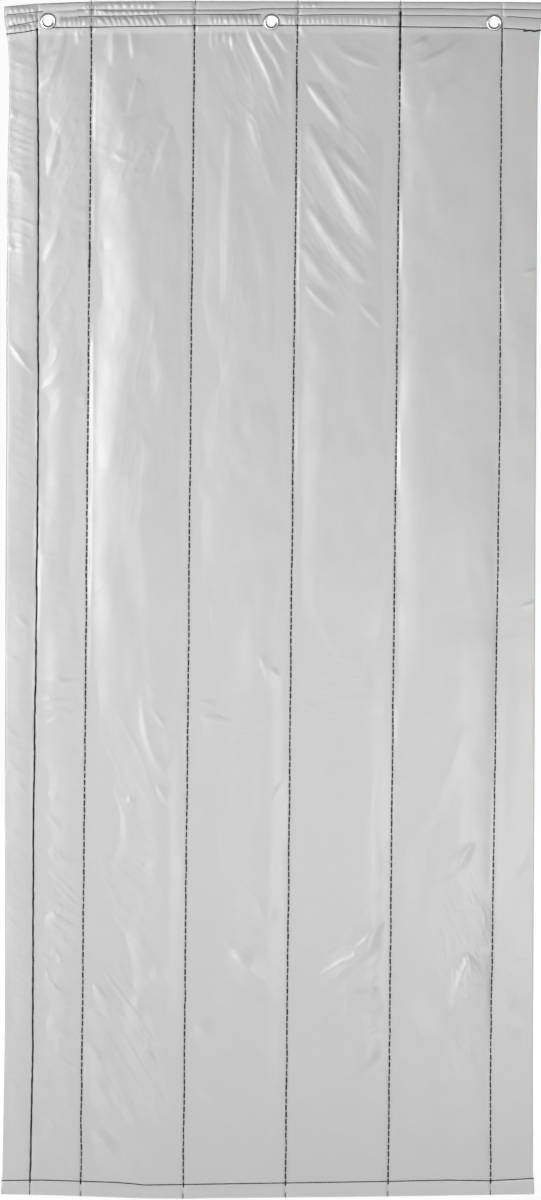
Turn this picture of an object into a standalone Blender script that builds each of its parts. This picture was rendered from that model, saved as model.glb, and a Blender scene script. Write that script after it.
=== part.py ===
"""Insulated door curtain: a quilted sheet with a stitched header, three grommets and hemmed edges.

Two coated-fabric skins hold a row of padded channels between them. The top of the front skin is
folded over a strip of webbing to make the header, its bottom is folded up into a hem, and its sides
are turned round into side hems. Each quilting seam is a living hinge, so the sheet is built as five
leaves that meet at the four middle seams.

Units are metres. +X runs to the right of someone facing the front, +Y to the back, +Z up. The origin
is the middle of the centre grommet's hole, halfway through the sheet.
"""

import math
from dataclasses import dataclass

import bmesh
import bpy

# The sheet
CURTAIN_DROP = 2.032
QUILT_PITCH = 0.1745
FULL_CHANNELS = 4
HALF_CHANNEL_WIDTH = 0.089
LEFT_HEM_WIDTH = 0.051
RIGHT_HEM_WIDTH = 0.069
SKIN_THICKNESS = 0.0005

# The filling: how far each skin stands off the middle at a channel's crown
CHANNEL_LOFT = 0.0062
HALF_CHANNEL_LOFT = 0.0048
HEM_LOFT = 0.0042
END_TAPER = 0.075
BATTING_INSET = 0.0066
SIDE_DRAW_IN = 0.005
DRAG_FOLD_WIDTH = 0.038

# The seams: a hinge seam leaves the cloth on each side of it room to fold
SEAM_GAP = 0.0004
HINGE_EDGE = 0.0015
HINGE_LEG_EDGE = 0.0034
THREAD_DIAMETER = 0.0012
THREAD_END_INSET = 0.002
LAYER_GAP = 0.0003

# The header, the bottom hem and the turned side edges
HEADER_DEPTH = 0.041
HEADER_FADE = 0.02
GROMMET_DROP = 0.035
GROMMET_FROM_SEAM = 0.015
TURN_UNDER = 0.003
BOTTOM_HEM_DEPTH = 0.023
FOLD_RISE = 0.00175
SIDE_FOLD_RUN = 0.0025
FLANGE_MARGIN = 0.0012

# The webbing inside the header
WEBBING_THICKNESS = 0.0016
WEBBING_TOP_GAP = 0.0035
WEBBING_END_GAP = 0.0085

# The grommets and their washers
GROMMET_HOLE_RADIUS = 0.008
GROMMET_WALL = 0.0007
GROMMET_FLANGE_WIDTH = 0.0051
GROMMET_FLANGE_DEPTH = 0.0015
GROMMET_ROLL = 0.0013
CLINCH_REACH = 0.0021
CLINCH_DEPTH = 0.0008
WASHER_WIDTH = 0.0048
WASHER_THICKNESS = 0.0006
WASHER_DISH = 0.0003

# How finely the faceted shapes are cut
CROWN_POWER = 0.7
END_POWER = 0.8
EDGE_CROWN_SHARE = 0.85
CHANNEL_SHARES = (0.14, 0.3, 0.5, 0.7, 0.86)
BATTING_SHARES = (0.3, 0.5, 0.7)
TAPER_SHARES = (0.0, 0.07, 0.24, 0.55, 1.0)
FRONT_ROW_COUNT = 18
BACK_ROW_COUNT = 2
FOLD_STEPS = 4
TURNED_STEPS = 20
THREAD_BEVEL_RESOLUTION = 2
CUTTER_OVERRUN = 0.01

# Heights, worked out from the sizes above
TOP_Z = GROMMET_DROP
BOTTOM_Z = TOP_Z - CURTAIN_DROP
HEADER_ROW_Z = TOP_Z - HEADER_DEPTH
GROMMET_FLANGE_RADIUS = GROMMET_HOLE_RADIUS + GROMMET_WALL + GROMMET_FLANGE_WIDTH
HEADER_FLAT_Z = min(HEADER_ROW_Z, -GROMMET_FLANGE_RADIUS - FLANGE_MARGIN)
HEM_ROW_Z = BOTTOM_Z + BOTTOM_HEM_DEPTH
HALF_SKIN = SKIN_THICKNESS / 2
HALF_SEAM_GAP = SEAM_GAP / 2
HEADER_SPACE = WEBBING_THICKNESS / 2 + LAYER_GAP - HALF_SEAM_GAP
SEWN_EDGE = THREAD_DIAMETER / 2 + LAYER_GAP

# The long folds that hanging pulls into the front. Each runs down one channel, from one place to
# another: (share of the channel's width, share of the drop) twice, then its height in lofts.
DRAG_FOLD_SHARES = {
    "left": ((0.55, 0.03, 0.3, 0.22, 0.28), (0.7, 0.58, 0.35, 0.86, 0.3)),
    "mid_left": (
        (0.2, 0.03, 0.24, 0.46, 0.3),
        (0.55, 0.52, 0.8, 0.68, 0.32),
        (0.2, 0.84, 0.7, 0.95, 0.28),
    ),
    "centre": ((0.75, 0.04, 0.9, 0.16, 0.26), (0.7, 0.76, 0.3, 0.86, 0.24)),
    "mid_right": (
        (0.15, 0.06, 0.75, 0.21, 0.36),
        (0.12, 0.17, 0.3, 0.46, 0.28),
        (0.8, 0.86, 0.5, 0.92, 0.22),
    ),
    "right": ((0.45, 0.88, 0.3, 0.96, 0.2),),
}

COLOURS = {
    # name: (base colour, roughness, metallic)
    "coated_fabric": ((0.62, 0.63, 0.63, 1.0), 0.38, 0.0),
    "batting": ((0.86, 0.86, 0.83, 1.0), 1.0, 0.0),
    "webbing": ((0.55, 0.55, 0.54, 1.0), 0.85, 0.0),
    "thread": ((0.02, 0.02, 0.022, 1.0), 0.6, 0.0),
    "nickel": ((0.72, 0.71, 0.69, 1.0), 0.25, 1.0),
}


@dataclass(frozen=True)
class Channel:
    """One padded channel, from its left seam or side edge to its right one.

    Each end is "hinge" where the next leaf folds, "sewn" at a seam inside a leaf, or "edge".
    """

    name: str
    left: float
    right: float
    left_end: str
    right_end: str
    loft: float


@dataclass(frozen=True)
class Leaf:
    """The channels that move as one, and the X of the seam that the leaf hinges on."""

    name: str
    parent: str
    hinge_x: float
    channels: tuple


def seam_distances():
    """Distance of each seam from the left edge, from left to right."""
    first_quilting = LEFT_HEM_WIDTH + HALF_CHANNEL_WIDTH
    quilting = [first_quilting + i * QUILT_PITCH for i in range(FULL_CHANNELS + 1)]
    return [LEFT_HEM_WIDTH] + quilting


def grommet_distances():
    """Distance of each grommet from the left edge: one beside each end seam, one midway."""
    seams = seam_distances()
    left = seams[0] + GROMMET_FROM_SEAM
    right = seams[-1] - GROMMET_FROM_SEAM
    return [left, (left + right) / 2, right]


ORIGIN_DISTANCE = grommet_distances()[1]
SEAMS_X = [distance - ORIGIN_DISTANCE for distance in seam_distances()]
GROMMETS_X = [distance - ORIGIN_DISTANCE for distance in grommet_distances()]
LEFT_X = -ORIGIN_DISTANCE
RIGHT_X = SEAMS_X[-1] + RIGHT_HEM_WIDTH


def make_leaves():
    """The five leaves, each with its channels, from left to right."""
    s = SEAMS_X
    left_hem = Channel("left_hem", LEFT_X, s[0], "edge", "sewn", HEM_LOFT)
    left = Channel("left", s[0], s[1], "sewn", "hinge", HALF_CHANNEL_LOFT)
    mid_left = Channel("mid_left", s[1], s[2], "hinge", "hinge", CHANNEL_LOFT)
    centre = Channel("centre", s[2], s[3], "hinge", "hinge", CHANNEL_LOFT)
    mid_right = Channel("mid_right", s[3], s[4], "hinge", "hinge", CHANNEL_LOFT)
    right = Channel("right", s[4], s[5], "hinge", "sewn", CHANNEL_LOFT)
    right_hem = Channel("right_hem", s[5], RIGHT_X, "sewn", "edge", HEM_LOFT)
    return [
        Leaf("centre", "", 0.0, (centre,)),
        Leaf("mid_left", "centre", s[2], (mid_left,)),
        Leaf("left", "mid_left", s[1], (left_hem, left)),
        Leaf("mid_right", "centre", s[3], (mid_right,)),
        Leaf("right", "mid_right", s[4], (right, right_hem)),
    ]


def clamp(value):
    """The value kept between 0 and 1."""
    return max(0.0, min(1.0, value))


def cut_edges(channel, hinge_edge=HINGE_EDGE):
    """The X of a channel's first and last line of skin, clear of its seams and side folds."""
    gaps = {"hinge": hinge_edge, "sewn": SEWN_EDGE, "edge": SIDE_FOLD_RUN + HALF_SKIN}
    return channel.left + gaps[channel.left_end], channel.right - gaps[channel.right_end]


def crown_share(channel, x):
    """How far the filling has risen across a channel: 0 at a seam and 1 at the crown."""
    first, last = cut_edges(channel)
    across = clamp((x - first) / (last - first))
    if channel.left_end == "edge":
        across = 1 - (1 - across) * EDGE_CROWN_SHARE
    if channel.right_end == "edge":
        across = across * EDGE_CROWN_SHARE
    return (4 * across * (1 - across)) ** CROWN_POWER


def end_share(z):
    """How far the filling has risen from the flat header or from the hem's row."""
    nearest = min(HEADER_FLAT_Z - z, z - HEM_ROW_Z)
    return math.sin(math.pi / 2 * clamp(nearest / END_TAPER)) ** END_POWER


def header_share(z):
    """1 in the header, where the webbing holds the skins apart, fading out below it."""
    return clamp(1 - (HEADER_FLAT_Z - z) / HEADER_FADE)


def pinch_share(channel, x):
    """0 where a hinge seam pinches the header flat, 1 a little way in from it."""
    first, last = cut_edges(channel)
    share = 1.0
    if channel.left_end == "hinge":
        share = min(share, clamp((x - first) / BATTING_INSET))
    if channel.right_end == "hinge":
        share = min(share, clamp((last - x) / BATTING_INSET))
    return share


def half_space(channel, x, z):
    """Distance from the middle of the sheet to the inner face of either skin."""
    filling = channel.loft * crown_share(channel, x) * end_share(z)
    header = HEADER_SPACE * pinch_share(channel, x) * header_share(z)
    return HALF_SEAM_GAP + filling + header


def drag_fold(channel, x, z):
    """How far the front skin stands out at a point in the folds that its own weight pulls."""
    width = channel.right - channel.left
    height = 0.0
    for x_1, drop_1, x_2, drop_2, lofts in DRAG_FOLD_SHARES.get(channel.name, ()):
        along = clamp((TOP_Z - z - drop_1 * CURTAIN_DROP) / ((drop_2 - drop_1) * CURTAIN_DROP))
        middle = channel.left + (x_1 + (x_2 - x_1) * along) * width
        spread = clamp(1 - abs(x - middle) / DRAG_FOLD_WIDTH)
        fade = math.sin(math.pi * along)
        height = max(height, lofts * channel.loft * spread * fade)
    return height * end_share(z)


def drawn_x(channel, x, z):
    """X of a point of a side hem once quilting has drawn its free edge in between its two ends."""
    share = 0.0
    if channel.left_end == "edge":
        share = (channel.right - x) / (channel.right - channel.left)
    if channel.right_end == "edge":
        share = (channel.left - x) / (channel.right - channel.left)
    return x + SIDE_DRAW_IN * end_share(z) * share


def front_y(channel, x, z):
    """Y of the middle of the front skin."""
    return -(half_space(channel, x, z) + drag_fold(channel, x, z) + HALF_SKIN)


def back_y(channel, x, z):
    """Y of the middle of the back skin."""
    return half_space(channel, x, z) + HALF_SKIN


def leg_y(channel, x, z):
    """Y of the middle of the folded-over part of the front skin, behind the back skin."""
    return back_y(channel, x, z) + SKIN_THICKNESS + LAYER_GAP


def across_stations(channel, shares, hinge_edge=HINGE_EDGE):
    """X values from one cut edge to the other, with one close to each edge."""
    first, last = cut_edges(channel)
    width = last - first
    near = [first + BATTING_INSET, last - BATTING_INSET]
    inner = [first + share * width for share in shares]
    ends = cut_edges(channel, hinge_edge)
    return [ends[0]] + sorted(near + inner) + [ends[1]]


def field_stations(row_count):
    """Z values down the padded field, close together at both tapered ends."""
    top = [HEADER_FLAT_Z - END_TAPER * share for share in TAPER_SHARES]
    bottom = [HEM_ROW_Z + END_TAPER * share for share in reversed(TAPER_SHARES)]
    step = (bottom[0] - top[-1]) / row_count
    middle = [top[-1] + step * i for i in range(1, row_count)]
    return top + middle + bottom


def half_ellipse(start, end, bulge):
    """(along, out) points of a half ellipse from start to end, standing out by bulge."""
    centre, radius = (start + end) / 2, (start - end) / 2
    turns = [math.pi * i / FOLD_STEPS for i in range(FOLD_STEPS + 1)]
    return [(centre + radius * math.cos(a), bulge * math.sin(a)) for a in turns]


def link(mesh, name, material):
    """Put a mesh into the scene as a named object with its own material."""
    obj = bpy.data.objects.new(name, mesh)
    bpy.context.scene.collection.objects.link(obj)
    colour, roughness, metallic = COLOURS[material]
    made = bpy.data.materials.new(name)
    made.use_nodes = True
    shader = made.node_tree.nodes["Principled BSDF"]
    shader.inputs["Base Color"].default_value = colour
    shader.inputs["Roughness"].default_value = roughness
    shader.inputs["Metallic"].default_value = metallic
    obj.data.materials.append(made)
    return obj


def grid_object(rows, name, material):
    """An open sheet of four-sided faces through rows of points."""
    bm = bmesh.new()
    lines = [[bm.verts.new(point) for point in row] for row in rows]
    for upper, lower in zip(lines, lines[1:]):
        for i in range(len(upper) - 1):
            bm.faces.new((upper[i], upper[i + 1], lower[i + 1], lower[i]))
    mesh = bpy.data.meshes.new(name)
    bm.to_mesh(mesh)
    bm.free()
    mesh.shade_smooth()
    return link(mesh, name, material)


def thicken(obj):
    """Give a sheet the skin's thickness, half to each side."""
    solidify = obj.modifiers.new("skin_thickness", "SOLIDIFY")
    solidify.thickness = SKIN_THICKNESS
    solidify.offset = 0
    solidify.use_even_offset = True
    return obj


def lofted_object(rings, name, material):
    """A closed solid through rings of points, with a flat face over each end."""
    bm = bmesh.new()
    lines = [[bm.verts.new(point) for point in ring] for ring in rings]
    count = len(lines[0])
    for upper, lower in zip(lines, lines[1:]):
        for i in range(count):
            j = (i + 1) % count
            bm.faces.new((upper[i], upper[j], lower[j], lower[i]))
    bm.faces.new(lines[0])
    bm.faces.new(lines[-1])
    bmesh.ops.recalc_face_normals(bm, faces=bm.faces)
    mesh = bpy.data.meshes.new(name)
    bm.to_mesh(mesh)
    bm.free()
    return link(mesh, name, material)


def turned_object(profile, name, material):
    """A closed ring turned about Y from (radius, y) points."""
    bm = bmesh.new()
    verts = [bm.verts.new((radius, y, 0.0)) for radius, y in profile]
    edges = [bm.edges.new((a, b)) for a, b in zip(verts, verts[1:] + verts[:1])]
    bmesh.ops.spin(
        bm,
        geom=verts + edges,
        axis=(0.0, 1.0, 0.0),
        cent=(0.0, 0.0, 0.0),
        angle=2 * math.pi,
        steps=TURNED_STEPS,
        use_merge=True,
    )
    bmesh.ops.recalc_face_normals(bm, faces=bm.faces)
    mesh = bpy.data.meshes.new(name)
    bm.to_mesh(mesh)
    bm.free()
    mesh.shade_smooth()
    mesh.set_sharp_from_angle(angle=math.radians(40))
    return link(mesh, name, material)


def make_front_skin(channel):
    """A channel's strip of the front skin, with its top and bottom folded to the back."""
    xs = across_stations(channel, CHANNEL_SHARES)
    leg_xs = across_stations(channel, CHANNEL_SHARES, HINGE_LEG_EDGE)
    fold_top, fold_bottom = TOP_Z - HALF_SKIN - FOLD_RISE, BOTTOM_Z + HALF_SKIN + FOLD_RISE

    def fold_row(z, out, share):
        """One row round a fold; share runs from 0 on the leg to 1 on the front."""
        row = []
        for front_x, leg_x in zip(xs, leg_xs):
            x = leg_x + (front_x - leg_x) * share
            turn = math.pi * share
            back, front = leg_y(channel, x, z), front_y(channel, x, z)
            y = (back + front) / 2 + (back - front) / 2 * math.cos(turn)
            row.append((x, y, z + out * math.sin(turn)))
        return row

    shares = [i / FOLD_STEPS for i in range(FOLD_STEPS + 1)]
    leg_foot = HEADER_ROW_Z - TURN_UNDER
    rows = [[(x, leg_y(channel, x, leg_foot), leg_foot) for x in leg_xs]]
    rows += [[(x, leg_y(channel, x, HEADER_ROW_Z), HEADER_ROW_Z) for x in leg_xs]]
    rows += [fold_row(fold_top, FOLD_RISE, share) for share in shares]
    rows += [[(x, front_y(channel, x, z), z) for x in xs] for z in field_stations(FRONT_ROW_COUNT)]
    rows += [fold_row(fold_bottom, -FOLD_RISE, share) for share in reversed(shares)]
    leg_head = HEM_ROW_Z + TURN_UNDER
    rows += [[(x, leg_y(channel, x, leg_head), leg_head) for x in leg_xs]]
    return thicken(grid_object(rows, "front_skin_" + channel.name, "coated_fabric"))


def make_back_skin(channel):
    """A channel's strip of the back skin, its ends tucked into the folds."""
    xs = across_stations(channel, CHANNEL_SHARES)
    tuck = HALF_SKIN + FOLD_RISE + LAYER_GAP
    zs = [TOP_Z - tuck] + field_stations(BACK_ROW_COUNT) + [BOTTOM_Z + tuck]
    rows = [[(x, back_y(channel, x, z), z) for x in xs] for z in zs]
    return thicken(grid_object(rows, "back_skin_" + channel.name, "coated_fabric"))


def make_side_hem(channel):
    """The sheet's side turned round to the back: a long U, open at the seam it is sewn on."""
    on_left = channel.left_end == "edge"
    first, last = cut_edges(channel)
    fold_x, seam_edge_x = (first, last) if on_left else (last, first)
    outward = -1 if on_left else 1
    near_seam = seam_edge_x + outward * BATTING_INSET
    inner = [seam_edge_x + (fold_x - seam_edge_x) * share for share in CHANNEL_SHARES]
    xs = [seam_edge_x, near_seam] + inner[1:] + [fold_x]
    rows = []
    top_edge = [TOP_Z, TOP_Z - FOLD_RISE]
    bottom_edge = [BOTTOM_Z + FOLD_RISE, BOTTOM_Z]
    for z in top_edge + field_stations(BACK_ROW_COUNT) + bottom_edge:
        leg_share = 1.0 if z > HEADER_FLAT_Z or z < HEM_ROW_Z else header_share(z)
        lift = (SKIN_THICKNESS + LAYER_GAP) * leg_share
        front = [(x, front_y(channel, x, z), z) for x in xs]
        back = [(x, back_y(channel, x, z) + lift, z) for x in reversed(xs)]
        if z in (TOP_Z, BOTTOM_Z):
            closed = (front[0][1] + back[0][1]) / 2
            front = [(x, closed - LAYER_GAP, z) for x, _, z in front]
            back = [(x, closed + LAYER_GAP, z) for x, _, z in back]
        fold = half_ellipse(front[-1][1], back[0][1], SIDE_FOLD_RUN)
        turn = [(fold_x + outward * out, y, z) for y, out in fold[1:-1]]
        rows.append([(drawn_x(channel, x, z), y, z) for x, y, z in front + turn + back])
    name = ("left" if on_left else "right") + "_side_hem"
    return thicken(grid_object(rows, name, "coated_fabric"))


def make_batting(channel):
    """The insulation in one channel: a pad that thins towards its seams and its two ends."""
    first, last = cut_edges(channel)
    width = last - first
    inner = [first + share * width for share in BATTING_SHARES]
    xs = [first + BATTING_INSET] + inner + [last - BATTING_INSET]
    rings = []
    for z in field_stations(BACK_ROW_COUNT)[1:-1]:
        half = [half_space(channel, x, z) - LAYER_GAP for x in xs]
        front = [(drawn_x(channel, x, z), -y, z) for x, y in zip(xs, half)]
        back = [(x, -y, z) for x, y, z in reversed(front)]
        rings.append(front + back)
    return lofted_object(rings, "insulation_" + channel.name, "batting")


def make_webbing(leaf):
    """The strip inside the header that takes the pull of the grommets."""
    first, last = leaf.channels[0], leaf.channels[-1]
    left = first.left + WEBBING_END_GAP
    right = last.right - WEBBING_END_GAP
    half = WEBBING_THICKNESS / 2
    ring = [(left, -half), (right, -half), (right, half), (left, half)]
    top, bottom = TOP_Z - WEBBING_TOP_GAP, HEADER_FLAT_Z
    rings = [[(x, y, z) for x, y in ring] for z in (top, bottom)]
    return lofted_object(rings, "header_webbing_" + leaf.name, "webbing")


def header_front_y():
    """Y of the header's front face, clear of its pinched seams."""
    return -(HALF_SEAM_GAP + HEADER_SPACE + SKIN_THICKNESS)


def header_back_y():
    """Y of the header's back face: the back skin and the folded leg lie behind the webbing."""
    return -header_front_y() + SKIN_THICKNESS + LAYER_GAP


def make_grommet(name, x):
    """A grommet: a flange with a rolled rim, a barrel through the header and a clinched lip."""
    hole = GROMMET_HOLE_RADIUS
    barrel = hole + GROMMET_WALL
    seat = header_front_y() - LAYER_GAP
    face = seat - GROMMET_FLANGE_DEPTH
    clinch = header_back_y() + LAYER_GAP + WASHER_THICKNESS + WASHER_DISH + LAYER_GAP
    tail = clinch + CLINCH_DEPTH
    lip = barrel + CLINCH_REACH
    profile = [
        (hole, seat),
        (hole, face + GROMMET_WALL),
        (hole + GROMMET_WALL, face),
        (GROMMET_FLANGE_RADIUS - GROMMET_ROLL, face),
        (GROMMET_FLANGE_RADIUS, seat - GROMMET_FLANGE_DEPTH / 2),
        (GROMMET_FLANGE_RADIUS, seat),
        (barrel, seat),
        (barrel, clinch),
        (lip, clinch),
        (lip, clinch + CLINCH_DEPTH / 2),
        (lip - GROMMET_WALL, tail),
        (barrel, tail),
        (hole, clinch),
    ]
    obj = turned_object(profile, "grommet_" + name, "nickel")
    obj.location = (x, 0.0, 0.0)
    return obj


def make_washer(name, x):
    """The dished washer that the grommet is clinched over, behind the header."""
    bore = GROMMET_HOLE_RADIUS + GROMMET_WALL + LAYER_GAP
    seat = header_back_y() + LAYER_GAP
    rim = bore + WASHER_WIDTH
    crown = (bore + rim) / 2
    profile = [
        (bore, seat + WASHER_DISH),
        (crown, seat + WASHER_DISH),
        (rim, seat),
        (rim, seat + WASHER_THICKNESS),
        (crown, seat + WASHER_THICKNESS + WASHER_DISH),
        (bore, seat + WASHER_THICKNESS + WASHER_DISH),
    ]
    obj = turned_object(profile, "grommet_washer_" + name, "nickel")
    obj.location = (x, 0.0, 0.0)
    return obj


def make_hole_cutter(name, x):
    """A round cutter for the hole that a grommet's barrel passes through."""
    bm = bmesh.new()
    radius = GROMMET_HOLE_RADIUS + GROMMET_WALL + LAYER_GAP
    bmesh.ops.create_cone(
        bm,
        cap_ends=True,
        segments=TURNED_STEPS,
        radius1=radius,
        radius2=radius,
        depth=2 * (header_back_y() + CUTTER_OVERRUN),
    )
    mesh = bpy.data.meshes.new("hole_cutter_" + name)
    bm.to_mesh(mesh)
    bm.free()
    cutter = link(mesh, "hole_cutter_" + name, "nickel")
    cutter.location = (x, 0.0, 0.0)
    cutter.rotation_euler = (math.pi / 2, 0.0, 0.0)
    cutter.hide_render = True
    cutter.display_type = "WIRE"
    return cutter


def cut_hole(obj, cutter):
    """Cut a grommet's hole through one layer of the header."""
    cut = obj.modifiers.new("grommet_hole", "BOOLEAN")
    cut.operation = "DIFFERENCE"
    cut.object = cutter


def make_thread(number, x, is_hinge, front):
    """One thread of a lockstitched seam: the needle thread in front or the bobbin thread behind.

    Between two leaves it lies on the hinge line. Inside a leaf it steps out over the webbing.
    """
    side = -1 if front else 1
    radius = THREAD_DIAMETER / 2
    field = HALF_SEAM_GAP / 2 + radius
    header = field if is_hinge else WEBBING_THICKNESS / 2 + LAYER_GAP + radius
    points = [
        (x, side * header, TOP_Z - THREAD_END_INSET),
        (x, side * header, HEADER_FLAT_Z),
        (x, side * field, HEADER_FLAT_Z - HEADER_FADE),
        (x, side * field, BOTTOM_Z + THREAD_END_INSET),
    ]
    name = f"seam_{number}_{'needle' if front else 'bobbin'}_thread"
    curve = bpy.data.curves.new(name, "CURVE")
    curve.dimensions = "3D"
    curve.bevel_depth = radius
    curve.bevel_resolution = THREAD_BEVEL_RESOLUTION
    curve.use_fill_caps = True
    spline = curve.splines.new("POLY")
    spline.points.add(len(points) - 1)
    for target, point in zip(spline.points, points):
        target.co = (*point, 1.0)
    return link(curve, name, "thread")


def make_leaf(leaf):
    """Every piece of one leaf's sheet: skins, side hem, insulation and webbing."""
    skins, pieces = [], []
    for channel in leaf.channels:
        if "edge" in (channel.left_end, channel.right_end):
            pieces.append(make_side_hem(channel))
        else:
            skins += [make_front_skin(channel), make_back_skin(channel)]
        pieces.append(make_batting(channel))
    webbing = make_webbing(leaf)
    for name, x in zip(("left", "centre", "right"), GROMMETS_X):
        if leaf.channels[0].left < x < leaf.channels[-1].right:
            cutter = make_hole_cutter(name, x)
            for layer in skins + [webbing]:
                cut_hole(layer, cutter)
            pieces += [make_grommet(name, x), make_washer(name, x), cutter]
    return skins + pieces + [webbing]


def hang_on(empty, pieces):
    """Make pieces follow a leaf's hinge, leaving them where they are."""
    bpy.context.view_layer.update()
    for piece in pieces:
        piece.parent = empty
        piece.matrix_parent_inverse = empty.matrix_world.inverted()


def main():
    """Build the curtain."""
    for old in list(bpy.data.objects):
        bpy.data.objects.remove(old)
    hinges = {}
    for leaf in make_leaves():
        hinge = bpy.data.objects.new("leaf_" + leaf.name, None)
        hinge.location = (leaf.hinge_x, 0.0, 0.0)
        bpy.context.scene.collection.objects.link(hinge)
        if leaf.parent:
            hang_on(hinges[leaf.parent], [hinge])
        hinges[leaf.name] = hinge
        hang_on(hinge, make_leaf(leaf))
    # Each seam's threads stay with the leaf on its side nearer the centre.
    owners = ("left", "mid_left", "centre", "centre", "mid_right", "right")
    for number, (x, owner) in enumerate(zip(SEAMS_X, owners), start=1):
        is_hinge = 1 < number < len(SEAMS_X)
        threads = [make_thread(number, x, is_hinge, front) for front in (True, False)]
        hang_on(hinges[owner], threads)


main()
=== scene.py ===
"""Looks of the insulated door curtain: padded panels, stitches, eyelets, light and camera.

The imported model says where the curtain's edges, seams and grommets are, and which leaves fold. Here
each channel becomes one padded panel of coated cloth, crowned by a cloth simulation and creased as it
hangs. Thin strips of the same cloth cross the four seams that fold. Every stitch is a piece of thread.

Lengths are metres unless a name says otherwise. +X is to the right seen from the front, -Y faces the
viewer and +Z is up. Pixels are those of the 541 x 1200 reference frame.
"""

import logging
import math
from collections.abc import Sequence
from dataclasses import dataclass, field
from enum import Enum
from functools import lru_cache
from typing import Any

import bmesh
import bpy
import numpy as np
from mathutils import Matrix, Vector


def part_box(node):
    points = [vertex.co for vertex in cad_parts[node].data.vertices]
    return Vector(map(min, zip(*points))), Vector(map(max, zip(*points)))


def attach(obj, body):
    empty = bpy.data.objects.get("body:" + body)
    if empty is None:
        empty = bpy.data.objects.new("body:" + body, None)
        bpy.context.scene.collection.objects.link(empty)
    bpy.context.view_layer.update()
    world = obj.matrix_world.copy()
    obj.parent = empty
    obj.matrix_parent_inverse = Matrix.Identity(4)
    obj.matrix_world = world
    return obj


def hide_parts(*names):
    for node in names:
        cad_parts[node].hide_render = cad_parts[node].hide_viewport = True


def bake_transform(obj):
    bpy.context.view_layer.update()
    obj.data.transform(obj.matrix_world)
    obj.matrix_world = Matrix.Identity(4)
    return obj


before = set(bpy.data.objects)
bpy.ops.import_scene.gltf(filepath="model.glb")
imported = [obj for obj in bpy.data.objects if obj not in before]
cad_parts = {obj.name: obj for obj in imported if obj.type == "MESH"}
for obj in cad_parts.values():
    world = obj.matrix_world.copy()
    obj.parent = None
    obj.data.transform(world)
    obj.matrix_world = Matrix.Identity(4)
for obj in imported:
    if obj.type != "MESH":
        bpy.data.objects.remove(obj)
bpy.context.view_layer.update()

LOG = logging.getLogger("curtain")
MM = 0.001

Point = tuple[float, float]
Grid = np.ndarray


# point attribute that holds the grommets' painted shade at the rim and hole
PAINTED_ROLL_SHADE = "roll_shade"


class Slot(Enum):
    """Names of three material slots."""

    CLOTH = "coated_fabric"
    THREAD = "thread"
    METAL = "nickel"


class End(Enum):
    """How a panel ends at one of its sides."""

    HINGE = "hinge"
    SEWN = "sewn"
    FOLD = "fold"


class Side(Enum):
    """The front or the back of the sheet, with the sign of Y on that side."""

    FRONT = -1
    BACK = 1


class Wire:
    """A node socket that adds Math nodes when it is used in an expression."""

    def __init__(self, maker: "NodeMaker", socket: bpy.types.NodeSocket) -> None:
        """Keep the socket and the maker of its tree."""
        self.maker = maker
        self.socket = socket

    def math(self, operation: str, *others: "Wire | float", flipped: bool = False) -> "Wire":
        """Add a Math node.

        Args:
            operation: Name of the Math node's operation.
            others: The other values, after this one.
            flipped: True where this value comes after the first of the others.

        Returns:
            The node's result.
        """
        values = [*others[:1], self, *others[1:]] if flipped else [self, *others]
        node = self.maker.node("ShaderNodeMath", {"operation": operation}, dict(enumerate(values)))
        return Wire(self.maker, node.outputs[0])

    def __add__(self, other: "Wire | float") -> "Wire":
        """Sum."""
        return self.math("ADD", other)

    __radd__ = __add__

    def __sub__(self, other: "Wire | float") -> "Wire":
        """Difference."""
        return self.math("SUBTRACT", other)

    def __rsub__(self, other: float) -> "Wire":
        """Difference with this value second."""
        return self.math("SUBTRACT", other, flipped=True)

    def __mul__(self, other: "Wire | float") -> "Wire":
        """Product."""
        return self.math("MULTIPLY", other)

    __rmul__ = __mul__

    def __pow__(self, other: "Wire | float") -> "Wire":
        """Power."""
        return self.math("POWER", other)

    def sine(self) -> "Wire":
        """Sine of the value in radians."""
        return self.math("SINE")


class NodeMaker:
    """Makes nodes in one tree."""

    def __init__(self, tree: bpy.types.NodeTree) -> None:
        """Keep the tree."""
        self.tree = tree

    def node(
        self, kind: str, settings: dict[str, Any] | None = None, inputs: dict[Any, Any] | None = None
    ) -> bpy.types.Node:
        """Add a node.

        Args:
            kind: The node's type.
            settings: Its own settings, set before its sockets.
            inputs: Values or wires by socket name or index.

        Returns:
            The new node.
        """
        made = self.tree.nodes.new(kind)
        for name, value in (settings or {}).items():
            setattr(made, name, value)
        return self.feed(made, inputs or {})

    def feed(self, node: bpy.types.Node, inputs: dict[Any, Any]) -> bpy.types.Node:
        """Set a node's sockets.

        Args:
            node: The node.
            inputs: Values or wires by socket name or index.

        Returns:
            The same node.
        """
        for key, value in inputs.items():
            if isinstance(value, Wire):
                self.tree.links.new(value.socket, node.inputs[key])
            else:
                node.inputs[key].default_value = value
        return node

    def wire(
        self,
        kind: str,
        settings: dict[str, Any] | None = None,
        inputs: dict[Any, Any] | None = None,
        output: int | str = 0,
    ) -> Wire:
        """Add a node and return one of its outputs as a wire."""
        return Wire(self, self.node(kind, settings, inputs).outputs[output])

    def blend(self, factor: Any, first: Any, second: Any, kind: str = "MIX") -> Wire:
        """Add a Mix node for colours; the kind is its blend type."""
        settings = {"data_type": "RGBA", "blend_type": kind}
        return self.wire("ShaderNodeMix", settings, {"Factor": factor, "A": first, "B": second}, "Result")


def new_material(name: str) -> tuple[bpy.types.Material, NodeMaker, bpy.types.Node]:
    """Start a material.

    Args:
        name: The material's name.

    Returns:
        The material, the maker of its tree and its Principled BSDF.
    """
    material = bpy.data.materials.new(name)
    material.use_nodes = True
    maker = NodeMaker(material.node_tree)
    return material, maker, material.node_tree.nodes["Principled BSDF"]


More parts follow.
